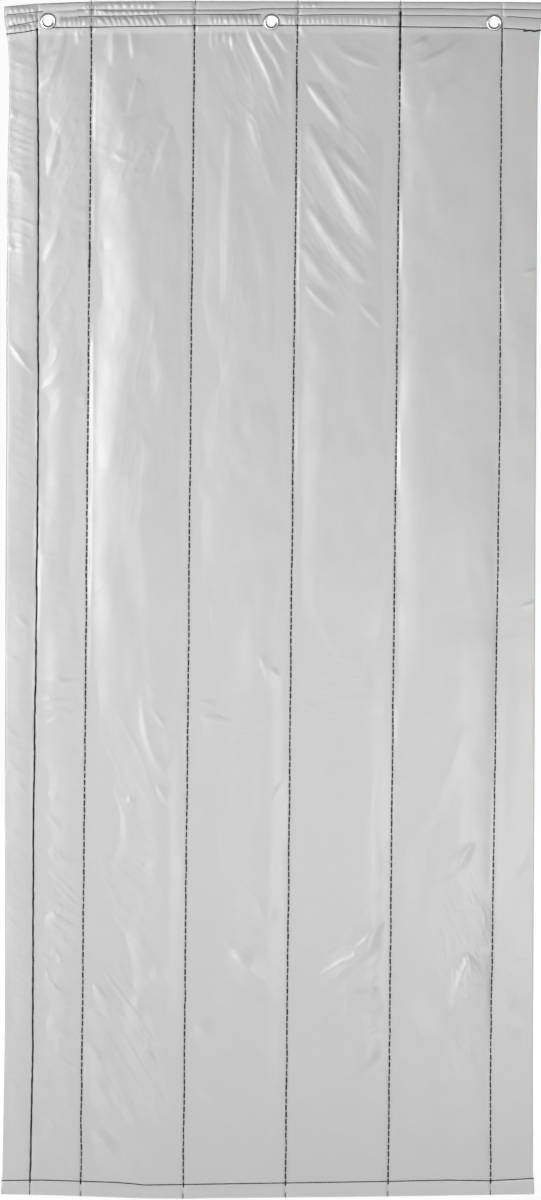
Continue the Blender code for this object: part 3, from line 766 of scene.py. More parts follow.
# What hanging, folding and handling have left in the cloth, channel by channel: each crease's pixels,
# height and width in millimetres and, where they aren't the usual ones, its skew and bluntness.
CREASE_ROWS: dict[str, tuple[tuple[Any, ...], ...]] = {
    "left_hem": (
        (((11, 342), (38, 376)), 0.9, 3.0),
        (((19, 617), (32, 627)), 0.9, 2.6),
        (((9, 728), (22, 739)), 0.7, 2.4),
        (((14, 745), (27, 752)), 0.7, 2.4),
        (((11, 762), (24, 773)), 0.6, 2.4),
        (((16, 779), (29, 790)), 0.6, 2.4),
        (((8, 902), (20, 911), (32, 919)), 0.9, 4.5),
        (((9, 114), (19, 119)), 0.8, 2.4),
        (((11, 172), (25, 177)), 0.7, 2.6),
        (((9, 243), (17, 252)), 0.7, 2.4),
        (((9, 656), (24, 662)), 0.7, 2.6),
        (((8, 831), (22, 836)), 0.7, 2.4),
    ),
    "left": (
        (((66, 31), (59, 55), (51, 77), (43, 89)), 1.9, 4.6, 0.2),
        (((52, 38), (47, 46), (43, 54)), 0.6, 2.6),
        (((78, 29), (79, 38), (78, 47)), 1.0, 3.2),
        (((83, 29), (85, 38)), 0.9, 3.0),
        (((59, 135), (55, 158), (49, 181)), 1.2, 4.4, 0.2),
        (((61, 231), (53, 248), (46, 262)), 1.0, 4.2),
        (((65, 371), (53, 382), (42, 392)), 0.9, 4.2),
        (((62, 190), (60, 330), (62, 500), (58, 660)), 0.5, 14.0, -0.2),
        (((38, 678), (60, 681), (82, 680)), 1.0, 3.0),
        (((44, 700), (58, 700), (71, 698)), 0.9, 2.6),
        (((44, 707), (60, 711), (77, 711)), 0.8, 2.6),
        (((48, 722), (56, 719), (63, 715)), 0.9, 2.6),
        (((48, 791), (55, 797), (61, 801)), 0.9, 2.6),
        (((42, 809), (53, 820), (61, 830)), 0.9, 2.8),
        (((48, 849), (53, 854), (57, 862)), 0.8, 2.6),
        (((36, 887), (48, 896), (61, 900)), 1.1, 5.6),
        (((38, 921), (50, 926), (61, 934), (69, 946)), 1.1, 5.3),
        (((44, 917), (53, 923), (61, 929)), 1.0, 4.9),
        (((38, 950), (52, 960), (66, 964)), 0.9, 5.6),
        (((38, 978), (54, 986), (69, 999)), 1.1, 5.3),
        (((42, 985), (56, 996), (68, 1000)), 0.9, 4.5),
        (((46, 1022), (58, 1028), (71, 1038)), 1.0, 4.9),
        (((43, 1072), (50, 1090), (60, 1104)), 0.6, 7.5),
    ),
    "mid_left": (
        (((118, 8), (116, 60), (114, 100), (121, 150), (129, 200), (134, 260), (131, 320),
          (125, 380), (116, 440), (108, 500), (106, 560), (112, 620), (114, 720)),
         3.4, 30.0, -0.2, 0.5),
        (((150, 440), (142, 500), (144, 560), (148, 650)), 1.6, 14.0, -0.2, 0.6),
        (((130, 31), (133, 44), (133, 59)), 1.0, 3.6),
        (((113, 31), (114, 48), (112, 66)), 0.9, 4.2),
        (((138, 80), (134, 98), (128, 116)), 1.0, 5.0),
        (((113, 152), (122, 159), (133, 162)), 0.4, 2.6),
        (((150, 138), (140, 158), (126, 180)), 0.8, 6.0),
        (((172, 124), (164, 148), (152, 182)), 0.9, 5.0),
        (((105, 240), (104, 252)), -0.4, 4.0),
        (((150, 300), (156, 350), (158, 420)), 0.5, 8.0),
        (((143, 630), (149, 680), (151, 724)), 0.7, 7.0),
        (((139, 700), (142, 726), (147, 746), (156, 766), (170, 786)), 1.2, 5.0),
        (((155, 732), (158, 748), (165, 765)), -1.0, 6.0, 0.0),
        (((162, 728), (158, 722), (152, 716)), 0.8, 2.8),
        (((153, 784), (160, 796), (168, 807)), 1.3, 3.8),
        (((92, 782), (101, 796), (108, 816), (112, 850), (112, 878)), -0.9, 7.0, 0.0),
        (((98, 774), (112, 790), (122, 816), (126, 856)), 0.8, 6.0),
        (((122, 799), (128, 801), (134, 799)), 1.1, 2.8),
        (((164, 690), (164, 900), (161, 1150)), 2.4, 19.0, 0.45),
        (((142, 864), (150, 871), (157, 876)), 0.9, 5.3),
        (((103, 925), (115, 940), (124, 957), (134, 992)), -3.0, 7.5),
        (((124, 934), (134, 955), (143, 982)), 2.6, 6.8),
        (((153, 965), (156, 977), (159, 988)), 1.1, 4.9),
        (((149, 968), (152, 978), (153, 984)), 0.9, 4.2),
        (((92, 982), (105, 1005), (122, 1034)), 2.9, 6.0),
        (((90, 1011), (105, 1020), (119, 1032)), 0.9, 5.3),
        (((134, 996), (140, 1030), (149, 1072), (163, 1126)), 4.2, 12.2, 0.35),
        (((150, 1010), (158, 1060), (168, 1108)), -2.0, 13.3),
        (((86, 1010), (98, 1024), (112, 1040)), 1.4, 6.4),
        (((86, 1040), (99, 1062), (117, 1088)), 3.6, 7.2, -0.1),
        (((86, 1064), (104, 1092), (124, 1122), (145, 1152)), 5.3, 9.4, -0.1),
        (((92, 1096), (110, 1122), (128, 1146)), 2.3, 7.5),
        (((86, 1122), (104, 1143), (122, 1163), (142, 1187)), 5.3, 9.4, -0.1),
        (((88, 1152), (100, 1164), (112, 1176)), 1.4, 7.5),
        (((142, 1162), (152, 1166), (163, 1168)), 1.0, 4.9),
        (((136, 1176), (141, 1184), (146, 1189)), 1.1, 4.5),
    ),
    "centre": (
        (((230, 120), (229, 200), (224, 310)), 1.2, 9.0),
        (((212, 29), (211, 40), (212, 51)), 0.8, 2.8),
        (((218, 29), (218, 38), (217, 47)), 0.8, 2.6),
        (((225, 29), (225, 38), (225, 46)), 1.0, 2.6),
        (((232, 28), (232, 40), (233, 52)), 1.5, 2.8),
        (((239, 28), (239, 36), (239, 43)), 0.8, 2.6),
        (((245, 24), (251, 38), (257, 51), (269, 77), (283, 120)), 1.5, 4.4),
        (((258, 31), (266, 44), (276, 60), (286, 84)), 1.2, 4.0),
        (((274, 32), (281, 41), (289, 54)), 1.0, 3.6),
        (((286, 27), (288, 31), (290, 33)), 0.9, 2.6),
        (((246, 110), (262, 156), (276, 200)), 0.5, 5.0),
        (((204, 60), (206, 180), (205, 300), (204, 420)), 0.5, 9.0, 0.2),
        (((244, 190), (260, 250), (276, 340)), 0.5, 8.0),
        (((191, 715), (210, 719), (230, 719)), 1.1, 3.2),
        (((192, 700), (212, 706)), 0.8, 3.0),
        (((270, 667), (274, 673), (279, 678)), 0.9, 2.8),
        (((196, 790), (216, 830), (226, 880)), 0.7, 7.0),
        (((270, 560), (269, 800), (268, 1150)), 2.6, 19.0, 0.45),
        (((254, 902), (264, 914), (273, 924)), 1.8, 7.9, 0.0),
        (((226, 948), (244, 966), (266, 990)), 4.0, 9.4, -0.1),
        (((268, 984), (276, 1000), (282, 1016)), 1.4, 11.3),
        (((218, 935), (232, 950), (240, 966)), 1.0, 7.5),
        (((191, 988), (200, 997), (212, 1006)), 1.5, 7.5, 0.0),
        (((186, 1018), (205, 1036), (222, 1052)), 3.6, 8.3, 0.0),
        (((262, 1012), (268, 1018), (276, 1023)), 1.0, 6.4),
        (((258, 655), (264, 668), (270, 684)), 1.2, 4.0),
        (((282, 780), (275, 792), (270, 802)), 0.9, 3.4),
        (((190, 1080), (215, 1098), (244, 1106)), 1.4, 9.4),
    ),
    "mid_right": (
        (((306, 28), (304, 32), (301, 36)), 0.9, 2.6),
        (((302, 76), (312, 89), (326, 106), (341, 126)), 2.2, 5.6, -0.1),
        (((338, 50), (358, 60), (380, 68)), 1.1, 4.0),
        (((310, 48), (330, 72), (352, 92)), 0.8, 6.0),
        (((305, 120), (328, 162), (352, 203), (376, 247)), 2.8, 9.0, -0.1),
        (((333, 148), (352, 170), (372, 192)), 1.5, 4.6, -0.1),
        (((308, 206), (334, 242), (366, 283)), 2.0, 6.6, -0.1),
        (((301, 244), (316, 266), (332, 288)), 1.6, 6.4, -0.1),
        (((306, 285), (322, 302), (337, 316)), 1.0, 4.0),
        (((360, 304), (371, 315), (381, 327)), 0.9, 3.6),
        (((324, 150), (346, 186), (362, 214)), -1.0, 6.0),
        (((318, 280), (320, 400), (318, 500), (314, 640)), 1.5, 16.0, 0.0),
        (((312, 600), (330, 640), (350, 664)), 0.7, 7.0),
        (((300, 700), (320, 712)), 0.6, 4.0),
        (((384, 916), (372, 938), (354, 960), (338, 974), (320, 990)), 4.4, 9.4, 0.4),
        (((384, 934), (374, 948), (362, 958)), 1.4, 6.4, 0.4),
        (((382, 880), (378, 890), (373, 900)), 1.0, 5.6),
        (((328, 996), (356, 996), (385, 990)), 2.0, 7.9),
        (((372, 640), (370, 880), (367, 1160)), 3.0, 19.0, 0.45),
        (((370, 1002), (377, 1009), (384, 1013)), 1.1, 5.6),
        (((384, 1044), (366, 1060), (348, 1078)), 3.6, 7.9, 0.4),
        (((384, 1032), (376, 1040), (368, 1047)), 1.1, 5.6),
        (((291, 1042), (306, 1058), (322, 1068)), 1.6, 7.9),
        (((290, 1068), (304, 1080), (314, 1092)), 1.0, 7.5),
        (((322, 866), (314, 880), (306, 888)), 0.9, 7.5),
        (((296, 1110), (330, 1124), (356, 1128)), 1.2, 9.4),
    ),
    "right": (
        (((397, 81), (388, 84), (381, 88)), 0.8, 2.8),
        (((427, 36), (420, 42), (410, 48)), 1.3, 3.0),
        (((460, 38), (446, 50), (430, 58), (418, 65)), 1.1, 4.2),
        (((452, 74), (436, 96), (424, 118)), 0.7, 7.0),
        (((420, 330), (422, 480), (418, 760)), 1.8, 20.0, -0.1),
        (((474, 400), (464, 560), (462, 760), (464, 960)), 3.2, 21.0, 0.15),
        (((468, 722), (452, 760), (436, 802), (412, 846)), 1.2, 8.0, 0.1),
        (((474, 842), (462, 858), (446, 884)), 2.0, 4.6, 0.0),
        (((438, 826), (434, 880), (424, 914)), 0.9, 8.0),
        (((478, 944), (463, 972), (455, 1006), (459, 1040)), 5.9, 19.0, -0.5, 0.12),
        (((468, 902), (472, 930), (478, 950)), 2.3, 11.3),
        (((449, 1087), (440, 1080), (429, 1090)), 1.4, 6.8, 0.0),
        (((462, 958), (470, 962), (478, 958)), 1.0, 6.4),
        (((394, 780), (400, 786), (408, 776)), 1.0, 3.4),
        (((437, 1177), (442, 1172), (447, 1167)), 0.9, 4.5),
        (((398, 1000), (414, 1020), (426, 1048)), 1.4, 9.4),
        (((400, 1120), (424, 1140), (440, 1150)), 1.2, 9.4),
    ),
    "right_hem": (
        (((537, 268), (528, 270), (518, 272)), 0.9, 2.8),
        (((530, 978), (522, 996), (514, 1012)), 1.6, 8.3, 0.4),
        (((524, 1020), (518, 1030), (511, 1040)), 1.3, 6.8, 0.4),
        (((518, 866), (522, 874), (526, 880)), 0.9, 6.4),
        (((534, 600), (520, 606)), 0.6, 3.0),
    ),
}

# Each patch of wrinkles: its centre, reach, angle, height and seed, and its length and width where they
# aren't the usual ones.
RUMPLE_ROWS: dict[str, tuple[tuple[Any, ...], ...]] = {
    "left_hem": (
        ((22, 160), (26, 190), -20, 0.7, 21),
        ((22, 520), (26, 220), -25, 0.5, 22),
        ((22, 780), (26, 120), -35, 0.8, 23),
        ((20, 1000), (26, 190), -30, 1.3, 24),
    ),
    "left": (
        ((66, 110), (36, 120), 62, 0.8, 31),
        ((66, 330), (36, 160), 55, 0.6, 32, 60.0, 18.0),
        ((64, 560), (36, 150), -12, 0.5, 33, 60.0, 18.0),
        ((62, 720), (36, 110), -4, 0.7, 34, 56.0, 13.0),
        ((60, 930), (36, 120), -34, 2.2, 35, 60.0, 15.0),
        ((60, 1085), (36, 100), -30, 1.6, 36, 60.0, 18.0),
    ),
    "mid_left": (
        ((140, 130), (60, 130), 62, 0.7, 41),
        ((150, 420), (50, 190), 80, 0.6, 42, 80.0, 16.0),
        ((140, 740), (52, 120), -62, 0.7, 43, 90.0, 26.0),
        ((140, 880), (52, 90), -40, 1.2, 44, 70.0, 20.0),
        ((128, 1040), (56, 150), -58, 2.5, 45, 110.0, 20.0),
        ((106, 590), (26, 60), -8, 0.6, 46, 40.0, 10.0),
    ),
    "centre": (
        ((258, 90), (50, 110), -62, 0.7, 51),
        ((240, 330), (60, 180), 84, 0.4, 52, 90.0, 18.0),
        ((236, 710), (60, 60), -3, 0.6, 53, 70.0, 11.0),
        ((236, 960), (60, 120), -34, 1.3, 54),
        ((240, 1110), (60, 70), -22, 0.9, 55),
    ),
    "mid_right": (
        ((336, 170), (56, 190), -56, 0.8, 61, 80.0, 16.0),
        ((340, 440), (56, 170), 84, 0.4, 62, 90.0, 18.0),
        ((344, 700), (60, 60), -3, 0.6, 63, 70.0, 11.0),
        ((350, 980), (56, 140), 36, 1.6, 64),
        ((316, 1090), (40, 80), -36, 1.2, 65),
    ),
    "right": (
        ((430, 70), (56, 70), 36, 0.6, 71),
        ((450, 330), (60, 200), 80, 0.4, 72, 90.0, 18.0),
        ((440, 720), (64, 80), -2, 0.4, 73, 60.0, 10.0),
        ((468, 980), (40, 150), -64, 1.6, 74),
        ((420, 1100), (50, 90), 20, 0.9, 75),
    ),
    "right_hem": (
        ((516, 260), (26, 160), 10, 0.4, 81),
        ((514, 640), (26, 200), 8, 0.3, 82),
        ((514, 1010), (26, 150), 40, 1.2, 83),
    ),
}
CREASES = {name: tuple(Crease(*row) for row in rows) for name, rows in CREASE_ROWS.items()}
RUMPLES = {name: tuple(Rumple(*row) for row in rows) for name, rows in RUMPLE_ROWS.items()}


@dataclass(frozen=True)
class Channel:
    """One padded channel: what it is called, what carries it and how far its filling rises."""

    name: str
    body: str
    nodes: tuple[str, ...]
    lines: tuple[int, int]
    ends: tuple[End, End]
    loft: float
    fullness: float
    seed: int


def make_channels() -> tuple[Channel, ...]:
    """The seven channels from left to right; lines count the upright lines from the left edge.

    Returns:
        The channels.
    """
    def padded_nodes(name: str) -> tuple[str, ...]:
        """The nodes of one full channel."""
        return (f"front_skin_{name}", f"back_skin_{name}", f"insulation_{name}", f"header_webbing_{name}")

    hinge, sewn, fold = End.HINGE, End.SEWN, End.FOLD
    hem = 3.0 * MM
    return (
        Channel("left_hem", "left_leaf", ("left_side_hem", "insulation_left_hem"), (0, 1),
                (fold, sewn), hem, 0.8, 11),
        Channel("left", "left_leaf", padded_nodes("left"), (1, 2), (sewn, hinge), 2.6 * MM, 0.9, 12),
        Channel("mid_left", "mid_left_leaf", padded_nodes("mid_left"), (2, 3), (hinge, hinge),
                4.8 * MM, 0.9, 13),
        Channel("centre", "centre_leaf", padded_nodes("centre"), (3, 4), (hinge, hinge),
                4.4 * MM, 1.05, 14),
        Channel("mid_right", "mid_right_leaf", padded_nodes("mid_right"), (4, 5), (hinge, hinge),
                5.0 * MM, 1.05, 15),
        Channel("right", "right_leaf", padded_nodes("right"), (5, 6), (hinge, sewn), 5.4 * MM, 1.1, 16),
        Channel("right_hem", "right_leaf", ("right_side_hem", "insulation_right_hem"), (6, 7),
                (sewn, fold), hem, 0.8, 17),
    )


@dataclass
class Sheet:
    """The curtain's surface: where its lines run and how far it stands off its middle plane."""

    plan: Plan
    photo: Photo
    hinge_edge: float = 1.5 * MM
    seam_depth: float = 0.5 * MM
    pinch_run: float = 3.6 * MM
    leg_run: float = 3.0 * MM
    leg_step: float = 0.8 * MM
    rise_run: float = 70 * MM
    flange_reach: float = 14.6 * MM
    front_share: float = 0.5
    back_share: float = 0.94
    lean_gain: float = 0.6
    lean_top: float = -0.9
    lean_run: float = 0.5
    settled_share: float = 0.7
    fuller_share: float = 0.3
    fullest_z: float = -0.95
    fuller_run: float = 0.5
    fold_rim: float = 0.25 * MM
    undulation_mm: tuple[float, float, float] = (0.8, 0.3, 0.05)

    def line_x(self, index: int, z: Grid) -> Grid:
        """X of an upright line at each height; 0 is the left edge and 7 the right one.

        Args:
            index: Number of the line.
            z: Z of each place.

        Returns:
            X values.
        """
        plan = self.plan
        straight = [plan.left, *plan.seams, plan.right][index]
        wander = {0: LEFT_EDGE, 1: SEAM_1, 6: SEAM_6, 7: RIGHT_EDGE}.get(index, Offsets())
        return straight + wander.at(plan.top - z)

    def sides(self, channel: Channel, z: Grid) -> tuple[Grid, Grid]:
        """X of a channel's panel at its left and right side, clear of a seam that folds.

        Args:
            channel: The channel.
            z: Z of each place.

        Returns:
            Left and right X.
        """
        gap = {End.HINGE: self.hinge_edge, End.SEWN: 0.0, End.FOLD: 0.0}
        left = self.line_x(channel.lines[0], z) + gap[channel.ends[0]]
        return left, self.line_x(channel.lines[1], z) - gap[channel.ends[1]]

    def header_share(self, x: Grid, z: Grid) -> Grid:
        """1 in the header, fading out below its lowest row."""
        return smooth(1 - (ROW_3.at(x, self.photo) - z) / (14 * MM))

    def rise(self, x: Grid, z: Grid, run: float) -> Grid:
        """0 at the header's lowest row and at the hem's row, 1 once run away from both."""
        nearest = np.minimum(ROW_3.at(x, self.photo) - z, z - HEM_ROW.at(x, self.photo))
        return np.sin(math.pi / 2 * np.clip(nearest / run, 0, 1)) ** 0.8

    def crown(self, channel: Channel, x: Grid, z: Grid) -> Grid:
        """0 at a channel's seams and 1 at its crown.

        Args:
            channel: The channel.
            x: X of the places.
            z: Z of the places.

        Returns:
            Shares.
        """
        left, right = self.sides(channel, z)
        share = np.clip((x - left) / (right - left), 0, 1)
        if channel.ends[0] is End.FOLD:
            share = 1 - (1 - share) * 0.8
        if channel.ends[1] is End.FOLD:
            share = share * 0.8
        lean = 1 + self.lean_gain * smooth((self.lean_top - z) / self.lean_run)
        share = share ** lean
        return (4 * share * (1 - share)) ** channel.fullness

    def settled(self, z: Grid) -> Grid:
        """How full the filling is at each height: fullest above the middle, flatter at both ends."""
        fuller = np.exp(-((z - self.fullest_z) / self.fuller_run) ** 2)
        return self.settled_share + self.fuller_share * fuller

    def from_seam(self, channel: Channel, x: Grid, z: Grid) -> Grid:
        """Distance to the nearer seam; a folded side edge doesn't count.

        Args:
            channel: The channel.
            x: X of the places.
            z: Z of the places.

        Returns:
            Distances.
        """
        left, right = self.sides(channel, z)
        away = np.full(np.shape(x), 1.0)
        if channel.ends[0] is not End.FOLD:
            away = np.minimum(away, x - left)
        if channel.ends[1] is not End.FOLD:
            away = np.minimum(away, right - x)
        return away

    def edge_rounding(self, channel: Channel, x: Grid, z: Grid) -> Grid:
        """0 at the outline's folds and 1 a fold's radius in from them.

        Args:
            channel: The channel.
            x: X of the places.
            z: Z of the places.

        Returns:
            Shares.
        """
        across_radius, down_radius = 2.6 * MM, 2.0 * MM
        left, right = self.sides(channel, z)
        inward = np.full(np.shape(x), 1.0)
        if channel.ends[0] is End.FOLD:
            inward = np.minimum(inward, (x - left) / across_radius)
        if channel.ends[1] is End.FOLD:
            inward = np.minimum(inward, (right - x) / across_radius)
        inward = np.minimum(inward, (TOP_EDGE.at(x, self.photo) - z) / down_radius)
        inward = np.minimum(inward, (z - BOTTOM_EDGE.at(x, self.photo)) / down_radius)
        inward = np.clip(inward, 0, 1)
        return np.sqrt(1 - (1 - inward) ** 2)

    def puckers(self, channel: Channel, x: Grid, z: Grid, side: Side) -> Grid:
        """Short ripples that the stitches pull into the cloth beside a seam.

        Args:
            channel: The channel.
            x: X of the places.
            z: Z of the places.
            side: Front or back.

        Returns:
            Heights.
        """
        away = self.from_seam(channel, x, z)
        shift = 7 * channel.seed + (100 if side is Side.BACK else 0)
        ripple = SmoothNoise(shift, 60 * MM, 9 * MM).at(x, z + 0.35 * x)
        patches = 0.6 + 0.4 * SmoothNoise(shift + 1, 90 * MM, 170 * MM).at(x, z)
        size = {"left_hem": 0.32, "left": 0.3, "mid_left": 0.22}.get(channel.name, 0.16)
        return size * MM * ripple * patches * smooth(away / (4 * MM)) * np.exp(-away / (17 * MM))

    def undulation(self, channel: Channel, x: Grid, z: Grid, side: Side) -> Grid:
        """Broad, shallow unevenness of the filling.

        Args:
            channel: The channel.
            x: X of the places.
            z: Z of the places.
            side: Front or back.

        Returns:
            Heights.
        """
        shift = 11 * channel.seed + (200 if side is Side.BACK else 0)
        broad = SmoothNoise(shift, 55 * MM, 120 * MM).at(x, z)
        medium = SmoothNoise(shift + 1, 22 * MM, 46 * MM).at(x, z)
        small = SmoothNoise(shift + 2, 9 * MM, 13 * MM).at(x, z)
        sizes = self.undulation_mm
        return (sizes[0] * broad + sizes[1] * medium + sizes[2] * small) * MM

    def stitched_groove(self, x: Grid, z: Grid) -> Grid:
        """How deep the rows of stitches across the header and the hem pull the cloth in.

        Args:
            x: X of the places.
            z: Z of the places.

        Returns:
            Depths.
        """
        depth = np.zeros(np.shape(x))
        for line, size in ((ROW_1, 0.35), (ROW_2, 0.35), (ROW_3, 0.5), (HEM_ROW, 0.55)):
            apart = (z - line.at(x, self.photo)) / (1.6 * MM)
            depth = np.maximum(depth, size * MM * np.exp(-apart ** 2))
        return depth

    def header_puff(self, x: Grid, z: Grid) -> Grid:
        """How the header's cloth swells between its rows.

        Args:
            x: X of the places.
            z: Z of the places.

        Returns:
            Heights.
        """
        photo = self.photo
        lines = [TOP_EDGE, ROW_1, ROW_2, ROW_3]
        puff = np.zeros(np.shape(x))
        for upper, lower in zip(lines, lines[1:]):
            top, bottom = upper.at(x, photo), lower.at(x, photo)
            share = np.clip((top - z) / (top - bottom), 0, 1)
            puff = np.maximum(puff, np.sin(math.pi * share))
        return 0.35 * MM * puff

    def flat_at_grommets(self, x: Grid, z: Grid, depth: Grid, flat: float) -> Grid:
        """Press the cloth flat under the grommets' flanges.

        Args:
            x: X of the places.
            z: Z of the places.
            depth: Depth before.
            flat: Depth under a flange.

        Returns:
            The new depth.
        """
        for centre_x, centre_z in self.plan.grommets:
            away = np.hypot(x - centre_x, z - centre_z)
            free = smooth((away - self.flange_reach) / (9 * MM))
            angle = np.arctan2(z - centre_z, x - centre_x)
            pull = 0.3 * MM * np.cos(7 * angle + centre_x) * free * np.exp(-away / (16 * MM))
            depth = flat + (depth - flat) * free + pull
        return depth

    def depth(self, channel: Channel, x: Grid, z: Grid, side: Side, swelling: Grid | float) -> Grid:
        """How far one side of a panel stands off the middle plane.

        Args:
            channel: The panel's channel.
            x: X of the places.
            z: Z of the places.
            side: Front or back.
            swelling: What the filling's pressure adds at each place.

        Returns:
            Distances from the middle plane.
        """
        away = self.from_seam(channel, x, z)
        rise = self.rise(x, z, self.rise_run)
        near_row = self.rise(x, z, 9 * MM)
        seam_window = smooth(away / (7 * MM))
        share = self.front_share if side is Side.FRONT else self.back_share
        fill = share * channel.loft * self.crown(channel, x, z) * rise * self.settled(z)
        header = self.header_share(x, z)
        pinch = smooth(away / self.pinch_run) * 0.94 + 0.06
        hinge_gap = self.seam_depth + fill + swelling * near_row
        relief = self.undulation(channel, x, z, side) * seam_window * near_row
        relief = relief + self.puckers(channel, x, z, side) * near_row
        if side is Side.FRONT:
            flat = self.plan.header_front
            for crease in CREASES.get(channel.name, ()):
                near, heights = crease.heights(x, z, self.photo)
                relief[near] += heights * (seam_window * near_row)[near]
            for rumple in RUMPLES.get(channel.name, ()):
                relief += rumple.heights(x, z, self.photo) * seam_window * near_row
            puffed = self.header_puff(x, z)
            for gathers in GATHERS:
                puffed = puffed + gathers.heights(x, z, self.photo)
            puffed = (puffed - self.stitched_groove(x, z)) * smooth(away / (3 * MM))
            headed = flat + puffed
        else:
            flat = self.plan.header_back
            headed = flat + (self.header_puff(x, z) - self.stitched_groove(x, z)) * smooth(away / (3 * MM))
            top_leg = smooth((z - ROW_3.at(x, self.photo) + self.leg_run) / (0.4 * MM))
            hem_leg = smooth((HEM_ROW.at(x, self.photo) + self.leg_run - z) / (0.4 * MM))
            hinge_gap = hinge_gap + self.leg_step * np.maximum(top_leg, hem_leg) * pinch
        hem_share = smooth((HEM_ROW.at(x, self.photo) - z) / (9 * MM) + 0.3)
        hem_swell = (0.9 * MM * hem_share - self.stitched_groove(x, z)) * smooth(away / (3 * MM))
        below_hem = z < HEM_ROW.at(x, self.photo) + 4 * MM
        field_depth = hinge_gap + relief + np.where(below_hem, np.maximum(hem_swell, -0.2 * MM), 0.0)
        seam_line = self.seam_depth + (headed - self.seam_depth) * pinch
        depth = field_depth + (seam_line - field_depth) * header
        depth = np.maximum(depth, self.seam_depth * 0.8)
        depth = self.flat_at_grommets(x, z, depth, flat)
        return self.fold_rim + (depth - self.fold_rim) * self.edge_rounding(channel, x, z)


@dataclass
class Pillows:
    """The channels' filling, blown up by a cloth simulation between the seams that hold it."""

    sheet: Sheet
    channels: tuple[Channel, ...]
    cell: float = 11 * MM
    rows: int = 184
    start_share: float = 0.72
    pressure: float = 4.0
    growth: float = 0.012
    frames: int = 20
    cap: float = 1.1 * MM
    blur_rows: int = 9
    full_width: float = 160 * MM
    fields: dict[str, dict[Side, Grid]] = field(default_factory=dict)

    def coarse(self, channel: Channel) -> tuple[Grid, Grid, Grid]:
        """X, Z and starting depth of a coarse grid over one channel.

        Args:
            channel: The channel.

        Returns:
            X, Z and depth.
        """
        sheet = self.sheet
        columns = max(6, round(channel.loft and self.width(channel) / self.cell)) + 1
        v = np.linspace(0, 1, self.rows)[:, None]
        u = np.linspace(0, 1, columns)[None, :]
        middle = (sheet.line_x(channel.lines[0], 0.0) + sheet.line_x(channel.lines[1], 0.0)) / 2
        top = ROW_3.at(middle, sheet.photo)
        bottom = HEM_ROW.at(middle, sheet.photo)
        z = top + (bottom - top) * v + 0 * u
        left, right = sheet.sides(channel, z)
        x = left + (right - left) * u
        crown = (4 * u * (1 - u)) ** 0.6 * np.minimum(1, 12 * np.minimum(v, 1 - v)) ** 0.8
        return x, z, channel.loft * self.start_share * crown

    def width(self, channel: Channel) -> float:
        """Width of a channel at the level of the grommets."""
        left, right = self.sheet.sides(channel, np.array(0.0))
        return float(right - left)

    def blow_up(self) -> None:
        """Run the simulation on all the channels at once and keep how far their skins moved."""
        bm = bmesh.new()
        spans: list[tuple[Channel, Grid, Grid, Grid, Grid]] = []
        for channel in self.channels:
            x, z, start = self.coarse(channel)
            front, back = self.add_pillow(bm, x, z, start)
            spans.append((channel, start, front, back, z))
        bmesh.ops.recalc_face_normals(bm, faces=bm.faces)
        mesh = bpy.data.meshes.new("pillows")
        bm.to_mesh(mesh)
        bm.free()
        pillows = bpy.data.objects.new("pillows", mesh)
        bpy.context.scene.collection.objects.link(pillows)
        held = pillows.vertex_groups.new(name="held")
        for _, _, front, back, _ in spans:
            border = np.concatenate((front[0], front[-1], front[:, 0], front[:, -1]))
            held.add([int(index) for index in border], 1.0, "REPLACE")
        self.simulate(pillows)
        places = np.empty(len(mesh.vertices) * 3)
        pillows.data.vertices.foreach_get("co", places)
        depth = -places.reshape(-1, 3)[:, 1]
        for channel, start, front, back, _ in spans:
            moved = {Side.FRONT: depth[front] - start, Side.BACK: -depth[back] - start}
            cap = self.cap * min(1.0, self.width(channel) / self.full_width)
            self.fields[channel.name] = {
                side: self.evened(cap * np.tanh(value / cap)) for side, value in moved.items()
            }
        bpy.data.objects.remove(pillows)
        LOG.info("pillows: %d blown up, at most %.1f mm", len(spans), 1000 * max(
            float(value.max()) for sides in self.fields.values() for value in sides.values()
        ))

    def evened(self, values: Grid) -> Grid:
        """A field whose short ripples along the channel are mostly evened out.

        Args:
            values: The field.

        Returns:
            The evened field.
        """
        reach = self.blur_rows
        bell = np.exp(-(np.arange(-reach, reach + 1) * 2.0 / reach) ** 2)
        padded = np.pad(values, ((reach, reach), (0, 0)), mode="edge")
        rows = len(values)
        total = sum(weight * padded[shift:shift + rows] for shift, weight in enumerate(bell))
        return 0.15 * values + 0.85 * total / bell.sum()

    def add_pillow(self, bm: bmesh.types.BMesh, x: Grid, z: Grid, start: Grid) -> tuple[Grid, Grid]:
        """Add one closed pillow.

        Args:
            bm: The mesh to add to.
            x: X of its grid.
            z: Z of its grid.
            start: How far each skin stands off at the start.

        Returns:
            Vertex numbers of the front grid and of the back one, which share their border.
        """
        rows, columns = x.shape
        first = len(bm.verts)
        front = np.arange(rows * columns).reshape(rows, columns) + first
        back = front.copy()
        made = [bm.verts.new((x[r, c], -start[r, c], z[r, c])) for r in range(rows) for c in range(columns)]
        extra = {}
        for r in range(1, rows - 1):
            for c in range(1, columns - 1):
                extra[r, c] = bm.verts.new((x[r, c], start[r, c], z[r, c]))
                back[r, c] = first + len(made) + len(extra) - 1
        at_back = [[extra.get((r, c), made[r * columns + c]) for c in range(columns)] for r in range(rows)]
        for r in range(rows - 1):
            for c in range(columns - 1):
                corner = r * columns + c
                ring = (corner, corner + columns, corner + columns + 1, corner + 1)
                bm.faces.new([made[k] for k in ring])
                quad = (at_back[r][c], at_back[r][c + 1], at_back[r + 1][c + 1], at_back[r + 1][c])
                if set(quad) != {made[k] for k in ring}:
                    bm.faces.new(quad)
        bm.verts.index_update()
        return front, back

